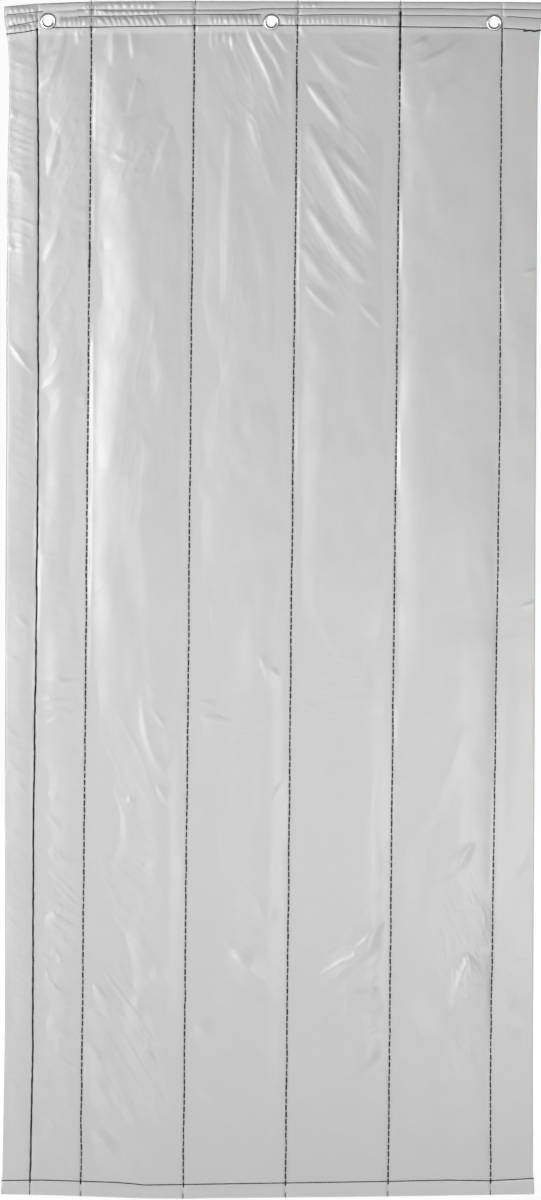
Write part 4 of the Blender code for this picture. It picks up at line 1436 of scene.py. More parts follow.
    def simulate(self, pillows: bpy.types.Object) -> None:
        """Run Blender's cloth on the pillows and keep the last frame as their mesh.

        Args:
            pillows: The object that holds them.
        """
        cloth = pillows.modifiers.new("filling", "CLOTH")
        settings = cloth.settings
        settings.quality = 5
        settings.mass = 0.3
        settings.tension_stiffness = 18
        settings.compression_stiffness = 14
        settings.shear_stiffness = 6
        settings.bending_stiffness = 0.35
        settings.air_damping = 2
        settings.use_pressure = True
        settings.uniform_pressure_force = self.pressure
        settings.shrink_min = -self.growth
        settings.vertex_group_mass = "held"
        settings.effector_weights.gravity = 0
        scene = bpy.context.scene
        for number in range(1, self.frames + 1):
            scene.frame_set(number)
        graph = bpy.context.evaluated_depsgraph_get()
        settled = bpy.data.meshes.new_from_object(pillows.evaluated_get(graph))
        pillows.modifiers.remove(cloth)
        pillows.data = settled
        scene.frame_set(1)

    def swelling(self, channel: Channel, x: Grid, z: Grid, side: Side) -> Grid:
        """What the filling's pressure adds, smoothed over the coarse grid's cells.

        Args:
            channel: The channel.
            x: X of the places.
            z: Z of the places.
            side: Front or back.

        Returns:
            Heights.
        """
        moved = self.fields.get(channel.name)
        if moved is None:
            return 0.2 * channel.loft * self.sheet.crown(channel, x, z)
        values = moved[side]
        rows, columns = values.shape
        left, right = self.sheet.sides(channel, z)
        middle = (left + right) / 2
        top, bottom = ROW_3.at(middle, self.sheet.photo), HEM_ROW.at(middle, self.sheet.photo)
        u = np.clip((x - left) / (right - left), 0, 1) * (columns - 1)
        v = np.clip((top - z) / (top - bottom), 0, 1) * (rows - 1)
        return bspline(values, v, u)


def bspline(values: Grid, v: Grid, u: Grid) -> Grid:
    """Smooth interpolation in a grid of values.

    Args:
        values: Rows and columns of numbers.
        v: Row of each place, with its fraction.
        u: Column of each place, with its fraction.

    Returns:
        A number for each place.
    """
    def weights(t: Grid) -> tuple[Grid, ...]:
        """The four weights of a cubic B-spline."""
        return (
            (1 - t) ** 3 / 6,
            (3 * t ** 3 - 6 * t ** 2 + 4) / 6,
            (-3 * t ** 3 + 3 * t ** 2 + 3 * t + 1) / 6,
            t ** 3 / 6,
        )

    rows, columns = values.shape
    i, j = np.floor(v).astype(int), np.floor(u).astype(int)
    across, down = weights(u - j), weights(v - i)
    total = np.zeros(np.shape(u))
    for a, row_weight in enumerate(down, start=-1):
        row = np.clip(i + a, 0, rows - 1)
        for b, column_weight in enumerate(across, start=-1):
            total += row_weight * column_weight * values[row, np.clip(j + b, 0, columns - 1)]
    return total


def link(mesh: bpy.types.Mesh, name: str, material: bpy.types.Material) -> bpy.types.Object:
    """Put a mesh into the scene as a named object with one material.

    Args:
        mesh: The mesh.
        name: The object's name.
        material: Its material.

    Returns:
        The object.
    """
    mesh.name = name
    obj = bpy.data.objects.new(name, mesh)
    bpy.context.scene.collection.objects.link(obj)
    mesh.materials.clear()
    mesh.materials.append(material)
    return obj


def grid_faces(rows: int, columns: int, closed: bool) -> Grid:
    """Corner numbers of the faces of a grid; a closed one joins its last column to its first.

    Args:
        rows: Rows of corners.
        columns: Columns of corners.
        closed: Whether it closes on itself.

    Returns:
        Four corners a face.
    """
    count = columns if closed else columns - 1
    r, c = np.mgrid[0:rows - 1, 0:count]
    after = (c + 1) % columns
    corners = (r * columns + c, (r + 1) * columns + c, (r + 1) * columns + after, r * columns + after)
    return np.stack(corners, axis=-1).reshape(-1, 4)


@dataclass
class ChannelPanel:
    """One channel of the curtain as a closed, padded form with its header and hem."""

    sheet: Sheet
    pillows: Pillows
    channel: Channel
    finishes: Finishes
    cell_x: float = 1.8 * MM
    cell_z: float = 2.8 * MM
    back_cell: float = 10.0 * MM
    hinge_steps_mm: tuple[float, ...] = (0.0, 0.7, 1.6, 2.8, 4.4, 6.4)
    sewn_steps_mm: tuple[float, ...] = (0.0, 1.0, 2.2, 3.8, 6.0)
    fold_steps_mm: tuple[float, ...] = (0.0, 0.12, 0.45, 1.0, 1.8, 2.8, 4.6)

    def near_steps(self, end: End) -> Grid:
        """Distances from a side at which the first columns stand."""
        steps = {End.HINGE: self.hinge_steps_mm, End.SEWN: self.sewn_steps_mm, End.FOLD: self.fold_steps_mm}
        return np.array(steps[end]) * MM

    def across(self, cell: float) -> tuple[Grid, Grid]:
        """How the columns stand between the panel's sides.

        Args:
            cell: Spacing in the middle of the panel.

        Returns:
            For each column its share of the way from left to right and its shift from there.
        """
        from_left, from_right = (self.near_steps(end) for end in self.channel.ends)
        left, right = self.sheet.sides(self.channel, np.array(0.0))
        inner = float(right - left) - from_left[-1] - from_right[-1]
        middle = np.linspace(0, 1, max(2, round(inner / cell)) + 1)[1:-1]
        shares = np.concatenate((0 * from_left, middle, 0 * from_right + 1))
        inset = from_left[-1] * (1 - middle) - from_right[-1] * middle
        return shares, np.concatenate((from_left, inset, -from_right[::-1]))

    def down(self) -> tuple[Grid, Grid]:
        """How the rows stand between the top edge, header row, hem row and bottom edge.

        Returns:
            For each row its weights of the four lines and its shift from there.
        """
        sheet = self.sheet
        leg, crisp = sheet.leg_run, 0.4 * MM
        folds = np.array((0.0, 0.1, 0.35, 0.8, 1.4, 2.1, 3.4)) * MM
        count = round((sheet.plan.top - sheet.plan.bottom) / self.cell_z)
        knots = [(0.0, -step) for step in folds]
        knots += self.between((0.0, -folds[-1]), (1.0, 0.0), 24)
        knots += [(1.0, crisp - leg), (1.0, -leg)]
        knots += self.between((1.0, -leg), (2.0, leg), count)
        knots += [(2.0, leg - crisp), (2.0, 0.0)]
        knots += self.between((2.0, 0.0), (3.0, folds[-1]), 7)
        knots += [(3.0, step) for step in folds[::-1][1:]]
        lines, shifts = np.array(knots).T
        return np.maximum(0, 1 - abs(lines[:, None] - np.arange(4))), shifts

    @staticmethod
    def between(start: Point, stop: Point, count: int) -> list[Point]:
        """Even rows after start, up to and with stop."""
        a, b = np.array(start), np.array(stop)
        return [tuple(a + (b - a) * step / count) for step in range(1, count + 1)]

    def grid(self, cell: float) -> tuple[Grid, Grid]:
        """X and Z of every corner of one side of the panel.

        Args:
            cell: Size of a cell.

        Returns:
            X and Z.
        """
        sheet, photo = self.sheet, self.sheet.photo
        shares, insets = self.across(cell)
        weights, shifts = self.down()
        x = np.zeros((len(shifts), len(shares)))
        x += sum(sheet.sides(self.channel, np.array(sheet.plan.bottom / 2))) / 2
        for _ in range(4):
            lines = np.stack([line.at(x, photo) for line in (TOP_EDGE, ROW_3, HEM_ROW, BOTTOM_EDGE)], -1)
            z = (lines * weights[:, None, :]).sum(-1) + shifts[:, None]
            left, right = sheet.sides(self.channel, z)
            x = left * (1 - shares) + right * shares + insets
        return x, z

    def build(self) -> bpy.types.Object:
        """Make the panel's mesh and dress it.

        Returns:
            The panel.
        """
        grids = []
        for side, cell in ((Side.FRONT, self.cell_x), (Side.BACK, self.back_cell)):
            x, z = self.grid(cell)
            swelling = self.pillows.swelling(self.channel, x, z, side)
            depth = self.sheet.depth(self.channel, x, z, side, swelling)
            y = side.value * depth
            grid = np.stack((x, y, z), axis=-1)
            grids.append(grid if side is Side.FRONT else grid[:, ::-1])
        ring = np.concatenate(grids, axis=1)
        rows, columns = ring.shape[:2]
        faces = grid_faces(rows, columns, closed=True).tolist()
        faces.append(list(range(columns)))
        faces.append([(rows - 1) * columns + c for c in reversed(range(columns))])
        mesh = bpy.data.meshes.new("panel")
        mesh.from_pydata(ring.reshape(-1, 3).tolist(), [], faces)
        mesh.shade_smooth()
        obj = link(mesh, f"panel_{self.channel.name}", self.finishes.cloth)
        self.cut_grommet_holes(obj)
        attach(obj, self.channel.body)
        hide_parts(*self.channel.nodes)
        LOG.info("%s: %d faces", obj.name, len(obj.data.polygons))
        return obj

    def cut_grommet_holes(self, obj: bpy.types.Object) -> None:
        """Cut the holes that the grommets' barrels pass through.

        Args:
            obj: The object.
        """
        low, high = self.sheet.sides(self.channel, np.array(0.0))
        for x, z in self.sheet.plan.grommets:
            if not low < x < high:
                continue
            bm = bmesh.new()
            bmesh.ops.create_cone(
                bm, cap_ends=True, segments=64, radius1=9.1 * MM, radius2=9.1 * MM, depth=40 * MM,
                matrix=Matrix.Translation((x, 0, z)) @ Matrix.Rotation(math.pi / 2, 4, "X"),
            )
            mesh = bpy.data.meshes.new("hole")
            bm.to_mesh(mesh)
            bm.free()
            cutter = bpy.data.objects.new("hole", mesh)
            bpy.context.scene.collection.objects.link(cutter)
            cut = obj.modifiers.new("hole", "BOOLEAN")
            cut.operation = "DIFFERENCE"
            cut.object = cutter
            graph = bpy.context.evaluated_depsgraph_get()
            pierced = bpy.data.meshes.new_from_object(obj.evaluated_get(graph))
            obj.modifiers.remove(cut)
            obj.data = pierced
            bpy.data.objects.remove(cutter)


@dataclass
class StitchTree:
    """The Geometry Nodes tree that lays stitches of thread along a line."""

    sizes: tuple[tuple[str, str, float], ...] = (
        ("Pitch", "NodeSocketFloat", 11.5 * MM),
        ("Length", "NodeSocketFloat", 10.0 * MM),
        ("Width", "NodeSocketFloat", 1.9 * MM),
        ("Bulge", "NodeSocketFloat", 0.5 * MM),
        ("Unevenness", "NodeSocketFloat", 0.12),
        ("Seed", "NodeSocketInt", 1),
        ("Thread", "NodeSocketMaterial", 0),
    )
    tree: bpy.types.NodeTree | None = None

    def build(self) -> "StitchTree":
        """Build the tree.

        Returns:
            The tree itself.
        """
        tree = bpy.data.node_groups.new("lay_stitches", "GeometryNodeTree")
        face = tree.interface
        face.new_socket("Geometry", in_out="INPUT", socket_type="NodeSocketGeometry")
        for name, kind, value in self.sizes:
            made = face.new_socket(name, in_out="INPUT", socket_type=kind)
            if kind != "NodeSocketMaterial":
                made.default_value = value
        face.new_socket("Geometry", in_out="OUTPUT", socket_type="NodeSocketGeometry")
        maker = NodeMaker(tree)
        group = maker.node("NodeGroupInput")
        given = {socket.name: Wire(maker, socket) for socket in group.outputs if socket.name}
        stitch = self.stitch(maker, given)
        curve = maker.wire("GeometryNodeMeshToCurve", inputs={"Mesh": given["Geometry"]})
        points = maker.node(
            "GeometryNodeCurveToPoints", {"mode": "LENGTH"}, {"Curve": curve, "Length": given["Pitch"]}
        )
        turned = maker.wire(
            "FunctionNodeAlignRotationToVector",
            {"axis": "Z", "pivot_axis": "Y"},
            {"Vector": Wire(maker, points.outputs["Tangent"])},
        )
        sizes = self.random_vector(maker, given)
        laid = maker.wire(
            "GeometryNodeInstanceOnPoints",
            inputs={
                "Points": Wire(maker, points.outputs["Points"]),
                "Instance": stitch,
                "Rotation": turned,
                "Scale": sizes,
            },
        )
        real = maker.wire("GeometryNodeRealizeInstances", inputs={"Geometry": laid})
        dressed = maker.wire(
            "GeometryNodeSetMaterial", inputs={"Geometry": real, "Material": given["Thread"]}
        )
        maker.node("NodeGroupOutput", inputs={"Geometry": dressed})
        self.tree = tree
        return self

    @staticmethod
    def random_vector(maker: NodeMaker, given: dict[str, Wire]) -> Wire:
        """A size for each stitch, near 1 across, through and along.

        Args:
            maker: Adds the nodes.
            given: The tree's inputs by name.

        Returns:
            The size.
        """
        spread = given["Unevenness"]
        least = {0: 1 - spread, 1: 1 - spread, 2: 1 - spread * 0.7}
        most = {0: 1 + spread, 1: 1 + spread, 2: 1 + spread * 0.5}
        low = maker.wire("ShaderNodeCombineXYZ", inputs=least)
        high = maker.wire("ShaderNodeCombineXYZ", inputs=most)
        return maker.wire(
            "FunctionNodeRandomValue",
            {"data_type": "FLOAT_VECTOR"},
            {"Min": low, "Max": high, "Seed": given["Seed"]},
        )

    @staticmethod
    def stitch(maker: NodeMaker, given: dict[str, Wire]) -> Wire:
        """One stitch: thread that leaves the cloth, runs along it and dives back in.

        Args:
            maker: Adds the nodes.
            given: The tree's inputs by name.

        Returns:
            The stitch's mesh.
        """
        half = given["Length"] * 0.5
        start = maker.wire("ShaderNodeCombineXYZ", inputs={2: half * -1})
        end = maker.wire("ShaderNodeCombineXYZ", inputs={2: half})
        line = maker.wire("GeometryNodeCurvePrimitiveLine", inputs={"Start": start, "End": end})
        line = maker.wire(
            "GeometryNodeResampleCurve", {"mode": "COUNT"}, {"Curve": line, "Count": 7}
        )
        along = maker.wire("GeometryNodeSplineParameter", output="Factor")
        arch = (along * math.pi).sine().math("MAXIMUM", 0.02)
        lift = maker.wire("ShaderNodeCombineXYZ", inputs={1: arch ** 0.5 * given["Bulge"]})
        line = maker.wire("GeometryNodeSetPosition", inputs={"Geometry": line, "Offset": lift})
        line = maker.wire("GeometryNodeSetCurveRadius", inputs={"Curve": line, "Radius": arch ** 0.28})
        circle = maker.wire(
            "GeometryNodeCurvePrimitiveCircle",
            {"mode": "RADIUS"},
            {"Resolution": 8, "Radius": given["Width"] * 0.5},
        )
        tube = maker.wire(
            "GeometryNodeCurveToMesh",
            inputs={"Curve": line, "Profile Curve": circle, "Fill Caps": True},
        )
        return maker.wire("GeometryNodeSetShadeSmooth", inputs={"Geometry": tube})

    def lay(self, name: str, runs: Sequence[Grid], values: dict[str, Any]) -> bpy.types.Object:
        """Lay stitches along lines.

        Args:
            name: Name of the piece.
            runs: Lines of points, one for each unbroken run of stitches.
            values: The tree's sizes by name.

        Returns:
            A plain mesh object at the origin.
        """
        points, edges = [], []
        for run in runs:
            first = len(points)
            points += run.tolist()
            edges += [(first + k, first + k + 1) for k in range(len(run) - 1)]
        mesh = bpy.data.meshes.new(name)
        mesh.from_pydata(points, edges, [])
        guide = bpy.data.objects.new(name + "_guide", mesh)
        bpy.context.scene.collection.objects.link(guide)
        modifier = guide.modifiers.new("stitches", "NODES")
        modifier.node_group = self.tree
        for item in self.tree.interface.items_tree:
            if item.item_type == "SOCKET" and item.in_out == "INPUT" and item.name in values:
                modifier[item.identifier] = values[item.name]
        graph = bpy.context.evaluated_depsgraph_get()
        laid = bpy.data.meshes.new_from_object(guide.evaluated_get(graph))
        bpy.data.objects.remove(guide)
        bm = bmesh.new()
        bm.from_mesh(laid)
        bmesh.ops.recalc_face_normals(bm, faces=bm.faces)
        bm.to_mesh(laid)
        bm.free()
        return link(laid, name, values["Thread"])


@dataclass
class Stitching:
    """Every seam and row of stitches on the curtain."""

    sheet: Sheet
    pillows: Pillows
    channels: tuple[Channel, ...]
    finishes: Finishes
    tree: StitchTree
    point_gap: float = 4 * MM
    strip_half: float = 0.35 * MM
    row_pitch: float = 3.9 * MM
    row_lift: float = 0.12 * MM
    fold_slope: float = 0.62
    fold_clearance: float = 0.75 * MM

    def seam_run(self, number: int, side: Side, rows: Point, shift: float = 0.0) -> Grid:
        """Points along a seam between two pixel rows, on the face of the cloth.

        Args:
            number: Number of the seam.
            side: Front or back.
            rows: First and last pixel row.
            shift: Distance along X.

        Returns:
            The points.
        """
        photo = self.sheet.photo
        top, bottom = photo.height(rows[0]), photo.height(rows[1])
        z = np.linspace(top, bottom, max(2, round((top - bottom) / self.point_gap)))
        x = self.sheet.line_x(number, z) + shift
        wobble = SmoothNoise(300 + number, 1.0, 55 * MM).at(x * 0, z) * 0.5 * MM
        wobble = wobble + SmoothNoise(320 + number, 1.0, 11 * MM).at(x * 0, z) * 0.35 * MM
        depth = self.strip_half + 0.75 * MM + self.step_out(number, x, z)
        return np.column_stack((x + wobble, side.value * depth, z))

    def step_out(self, number: int, x: Grid, z: Grid) -> Grid:
        """How much further out a sewn seam lies over the header, where no hinge pinches it.

        Args:
            number: Number of the seam.
            x: X of the places.
            z: Z of the places.

        Returns:
            Distances.
        """
        if number not in (1, 6):
            return np.zeros(np.shape(x))
        return 0.3 * MM * self.sheet.header_share(x, z)

    def body_of_seam(self, number: int) -> tuple[str, ...]:
        """The body that carries a seam, or the two bodies that it bends between."""
        left, right = self.channels[number - 1].body, self.channels[number].body
        return (left,) if left == right else (left, right)

    def carry(self, obj: bpy.types.Object, number: int) -> None:
        """Make a seam's piece ride on its leaf; a piece between two leaves only has its place baked into
        its mesh.

        Args:
            obj: The object.
            number: Number of the seam.
        """
        bodies = self.body_of_seam(number)
        if len(bodies) == 1:
            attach(obj, bodies[0])
            return
        x = self.sheet.plan.seams[number - 1]
        edge = self.sheet.hinge_edge
        x - edge
        x + edge
        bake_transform(obj)

    def sew_seam(self, number: int) -> None:
        """Sew one upright seam, front and back.

        Args:
            number: Number of the seam.
        """
        photo, plan = self.sheet.photo, self.sheet.plan
        heavy = {1: (29.5, 1196.5), 6: (27.0, 1180.0)}
        for side, thread in ((Side.FRONT, "needle"), (Side.BACK, "bobbin")):
            below = (
                photo_row(ROW_3, number, self.sheet) + 1.5,
                photo_row(HEM_ROW, number, self.sheet),
            )
            values = {
                "Pitch": 11.7 * MM, "Length": 9.3 * MM, "Width": 2.15 * MM, "Unevenness": 0.14,
                "Bulge": side.value * 0.35 * MM, "Seed": 10 * number + (side is Side.BACK),
                "Thread": self.finishes.seam_thread,
            }
            if number == 1:
                values |= {"Pitch": 9.0 * MM, "Length": 9.6 * MM, "Width": 2.7 * MM}
            shift = 0.35 * MM if number == 5 else 0.0
            run = self.seam_run(number, side, below, shift)
            obj = self.tree.lay(f"seam_{number}_{thread}_stitches", [run], values)
            thin = values | {
                "Width": 1.15 * MM, "Bulge": side.value * 0.2 * MM, "Thread": self.finishes.row_thread,
            }
            top_row = {1: 22.5, 6: 25.0}.get(number, photo_row(TOP_EDGE, number, self.sheet) + 1.6)
            bottom_row = photo_row(BOTTOM_EDGE, number, self.sheet) - 2.6
            ends = self.tree.lay(
                f"seam_{number}_{thread}_ends",
                [self.header_run(number, side, (top_row, below[0])),
                 self.header_run(number, side, (below[1], bottom_row))],
                thin,
            )
            for piece in (obj, ends):
                self.carry(piece, number)
            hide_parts(f"seam_{number}_{thread}_thread")
            LOG.info("%s: %d faces", obj.name, len(obj.data.polygons))

    def header_run(self, number: int, side: Side, rows: Point) -> Grid:
        """Points along a seam where it crosses the header or the hem.

        Args:
            number: Number of the seam.
            side: Front or back.
            rows: First and last pixel row.

        Returns:
            The points.
        """
        run = self.seam_run(number, side, rows)
        if number in (1, 6):
            channel = self.channels[number]
            depth = self.sheet.depth(channel, run[:, 0], run[:, 2], side, 0.0)
            run[:, 1] = side.value * (depth + 0.1 * MM)
        return run

    def sew_row(
        self, name: str, line: CrossLine, channel: Channel, side: Side, width_mm: float,
        columns: Sequence[Point], material: bpy.types.Material,
    ) -> bpy.types.Object | None:
        """Sew one row across one panel.

        Args:
            name: Name of the row.
            line: Where it runs.
            channel: The panel's channel.
            side: Front or back.
            width_mm: Width of the thread.
            columns: The pixel columns between which it is sewn.
            material: The thread's finish.

        Returns:
            The piece, or nothing where the row doesn't cross the panel.
        """
        runs = []
        photo = self.sheet.photo
        for start, stop in columns:
            row = line.pixels[0][1]
            first, last = photo.place(start, row)[0], photo.place(stop, row)[0]
            low, high = self.sheet.sides(channel, line.at(np.array((first + last) / 2), photo))
            edge = {End.HINGE: 2.4 * MM, End.SEWN: 0.0, End.FOLD: 1.6 * MM}
            first = max(first, float(low) + edge[channel.ends[0]])
            last = min(last, float(high) - edge[channel.ends[1]])
            if last - first < 3 * MM:
                continue
            x = np.linspace(first, last, max(2, round((last - first) / (2.5 * MM))))
            z = line.at(x, photo)
            swelling = self.pillows.swelling(channel, x, z, side)
            depth = self.sheet.depth(channel, x, z, side, swelling) + self.row_lift
            for end, number in zip(channel.ends, channel.lines):
                if end is End.HINGE:
                    away = np.abs(x - self.sheet.line_x(number, z))
                    past_first = smooth((away - self.row_pitch) / (1.5 * MM))
                    nearest_end = away - 0.5 * self.row_pitch * past_first
                    depth = np.minimum(depth, self.fold_slope * nearest_end - self.fold_clearance)
            runs.append(np.column_stack((x, side.value * depth, z)))
        if not runs:
            return None
        values = {
            "Pitch": self.row_pitch, "Length": self.row_pitch, "Width": width_mm * MM, "Unevenness": 0.1,
            "Bulge": side.value * 0.16 * MM, "Seed": channel.seed, "Thread": material,
        }
        obj = self.tree.lay(f"{name}_{channel.name}_{side.name.lower()}", runs, values)
        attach(obj, channel.body)
        return obj

    def sew_rows(self) -> None:
        """Sew the header's rows and the hem's row across every panel."""
        whole = ((0, 541),)
        grey, black = self.finishes.row_thread, self.finishes.seam_thread
        front_rows = (
            ("header_row_1", ROW_1, 1.15, ((5, 41), (79, 541)), grey),
            ("header_row_2", ROW_2, 1.15, ((7, 38), (80, 260), (279, 485), (505, 541)), grey),
            ("header_row_3", ROW_3, 1.6, ((5, 38), (52, 262), (276, 488), (502, 521)), black),
            ("header_backstitch", BACKSTITCH, 2.6, ((521, 540),), black),
            ("hem_row", HEM_ROW, 1.6, whole, black),
        )
        for channel in self.channels:
            for name, line, width, columns, material in front_rows:
                self.sew_row(name, line, channel, Side.FRONT, width, columns, material)
                self.sew_row(name, line, channel, Side.BACK, width, columns, material)
        for number in (2, 3, 4, 5):
            for side in (Side.FRONT, Side.BACK):
                self.cross_seam(number, side, "header", (ROW_1, ROW_2), grey)
                self.cross_seam(number, side, "lowest", (ROW_3, HEM_ROW), black)
        LOG.info("rows sewn across %d panels", len(self.channels))

    def cross_seam(
        self,
        number: int,
        side: Side,
        name: str,
        lines: tuple[CrossLine, ...],
        material: bpy.types.Material,
    ) -> None:
        """Carry rows of stitches across a seam that folds, one stitch for each row.

        Args:
            number: Number of the seam.
            side: Front or back.
            name: Row name for the piece.
            lines: The rows that cross it.
            material: The thread.
        """
        x = self.sheet.plan.seams[number - 1] + np.array((0.0, 1.0)) * MM
        depth = np.full(2, side.value * (self.strip_half + 0.5 * MM))
        runs = [np.column_stack((x, depth, line.at(x, self.sheet.photo))) for line in lines]
        values = {
            "Pitch": 10 * MM, "Length": 4.8 * MM, "Width": 1.15 * MM, "Unevenness": 0.0,
            "Bulge": side.value * 0.1 * MM, "Seed": 90 + number, "Thread": material,
        }
        obj = self.tree.lay(f"seam_{number}_{name}_crossing_{side.name.lower()}", runs, values)
        self.carry(obj, number)

    def sew_knots(self) -> None:
        """Lay the bunches of thread where a seam was sewn over twice."""
        bunches = {
            2: ((243, 266), 2.6), 4: ((70, 92), 2.2), 5: ((14, 70), 3.0), 6: ((30, 60), 2.0),
        }
        for number, (rows, width) in bunches.items():
            run = self.seam_run(number, Side.FRONT, rows)
            run[:, 1] -= 0.25 * MM
            values = {
                "Pitch": 4.2 * MM, "Length": 6.0 * MM, "Width": width * MM, "Unevenness": 0.3,
                "Bulge": -0.3 * MM, "Seed": 70 + number, "Thread": self.finishes.seam_thread,
            }
            obj = self.tree.lay(f"seam_{number}_oversewn", [run], values)
            self.carry(obj, number)


def photo_row(line: CrossLine, number: int, sheet: Sheet) -> float:
    """Pixel row at which a line crosses a seam."""
    z = float(line.at(np.array(sheet.plan.seams[number - 1]), sheet.photo))
    return sheet.photo.top_pixel + (sheet.plan.top - z) * sheet.photo.pixels_per_metre


@dataclass
class SeamStrip:
    """The cloth in the groove of a seam that folds, between the two leaves it joins."""

    sheet: Sheet
    number: int
    bodies: tuple[str, str]
    finishes: Finishes
    half_width: float = 5.4 * MM
    half_thickness: float = 0.35 * MM
    cell_z: float = 8 * MM

    def build(self) -> bpy.types.Object:
        """Make the strip and dress it.

        Returns:
            The strip.
        """
        sheet, photo = self.sheet, self.sheet.photo
        seam = sheet.plan.seams[self.number - 1]
        top = float(TOP_EDGE.at(np.array(seam), photo)) - 0.4 * MM
        bottom = float(BOTTOM_EDGE.at(np.array(seam), photo)) + 0.4 * MM
        z = np.linspace(top, bottom, round((top - bottom) / self.cell_z))
        right = (0.09, 0.18, 0.28, 0.6, 1.0)
        across = np.array((*(-share for share in reversed(right)), 0.0, *right)) * self.half_width
        thick = np.full(len(across), self.half_thickness)
        front = np.stack([np.column_stack((seam + across, -thick, np.full(len(across), h))) for h in z])
        back = np.stack([np.column_stack((seam + across, thick, np.full(len(across), h)))[::-1] for h in z])
        ring = np.concatenate((front, back), axis=1)
        rows, columns = ring.shape[:2]
        faces = grid_faces(rows, columns, closed=True).tolist()
        faces.append(list(range(columns)))
        faces.append([(rows - 1) * columns + c for c in reversed(range(columns))])
        mesh = bpy.data.meshes.new("strip")
        mesh.from_pydata(ring.reshape(-1, 3).tolist(), [], faces)
        mesh.shade_smooth()
        mesh.set_sharp_from_angle(angle=math.radians(50))
        obj = link(mesh, f"seam_{self.number}_cloth", self.finishes.cloth)
        edge = sheet.hinge_edge
        seam - edge
        seam + edge
        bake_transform(obj)
        2 * self.half_width
        return obj


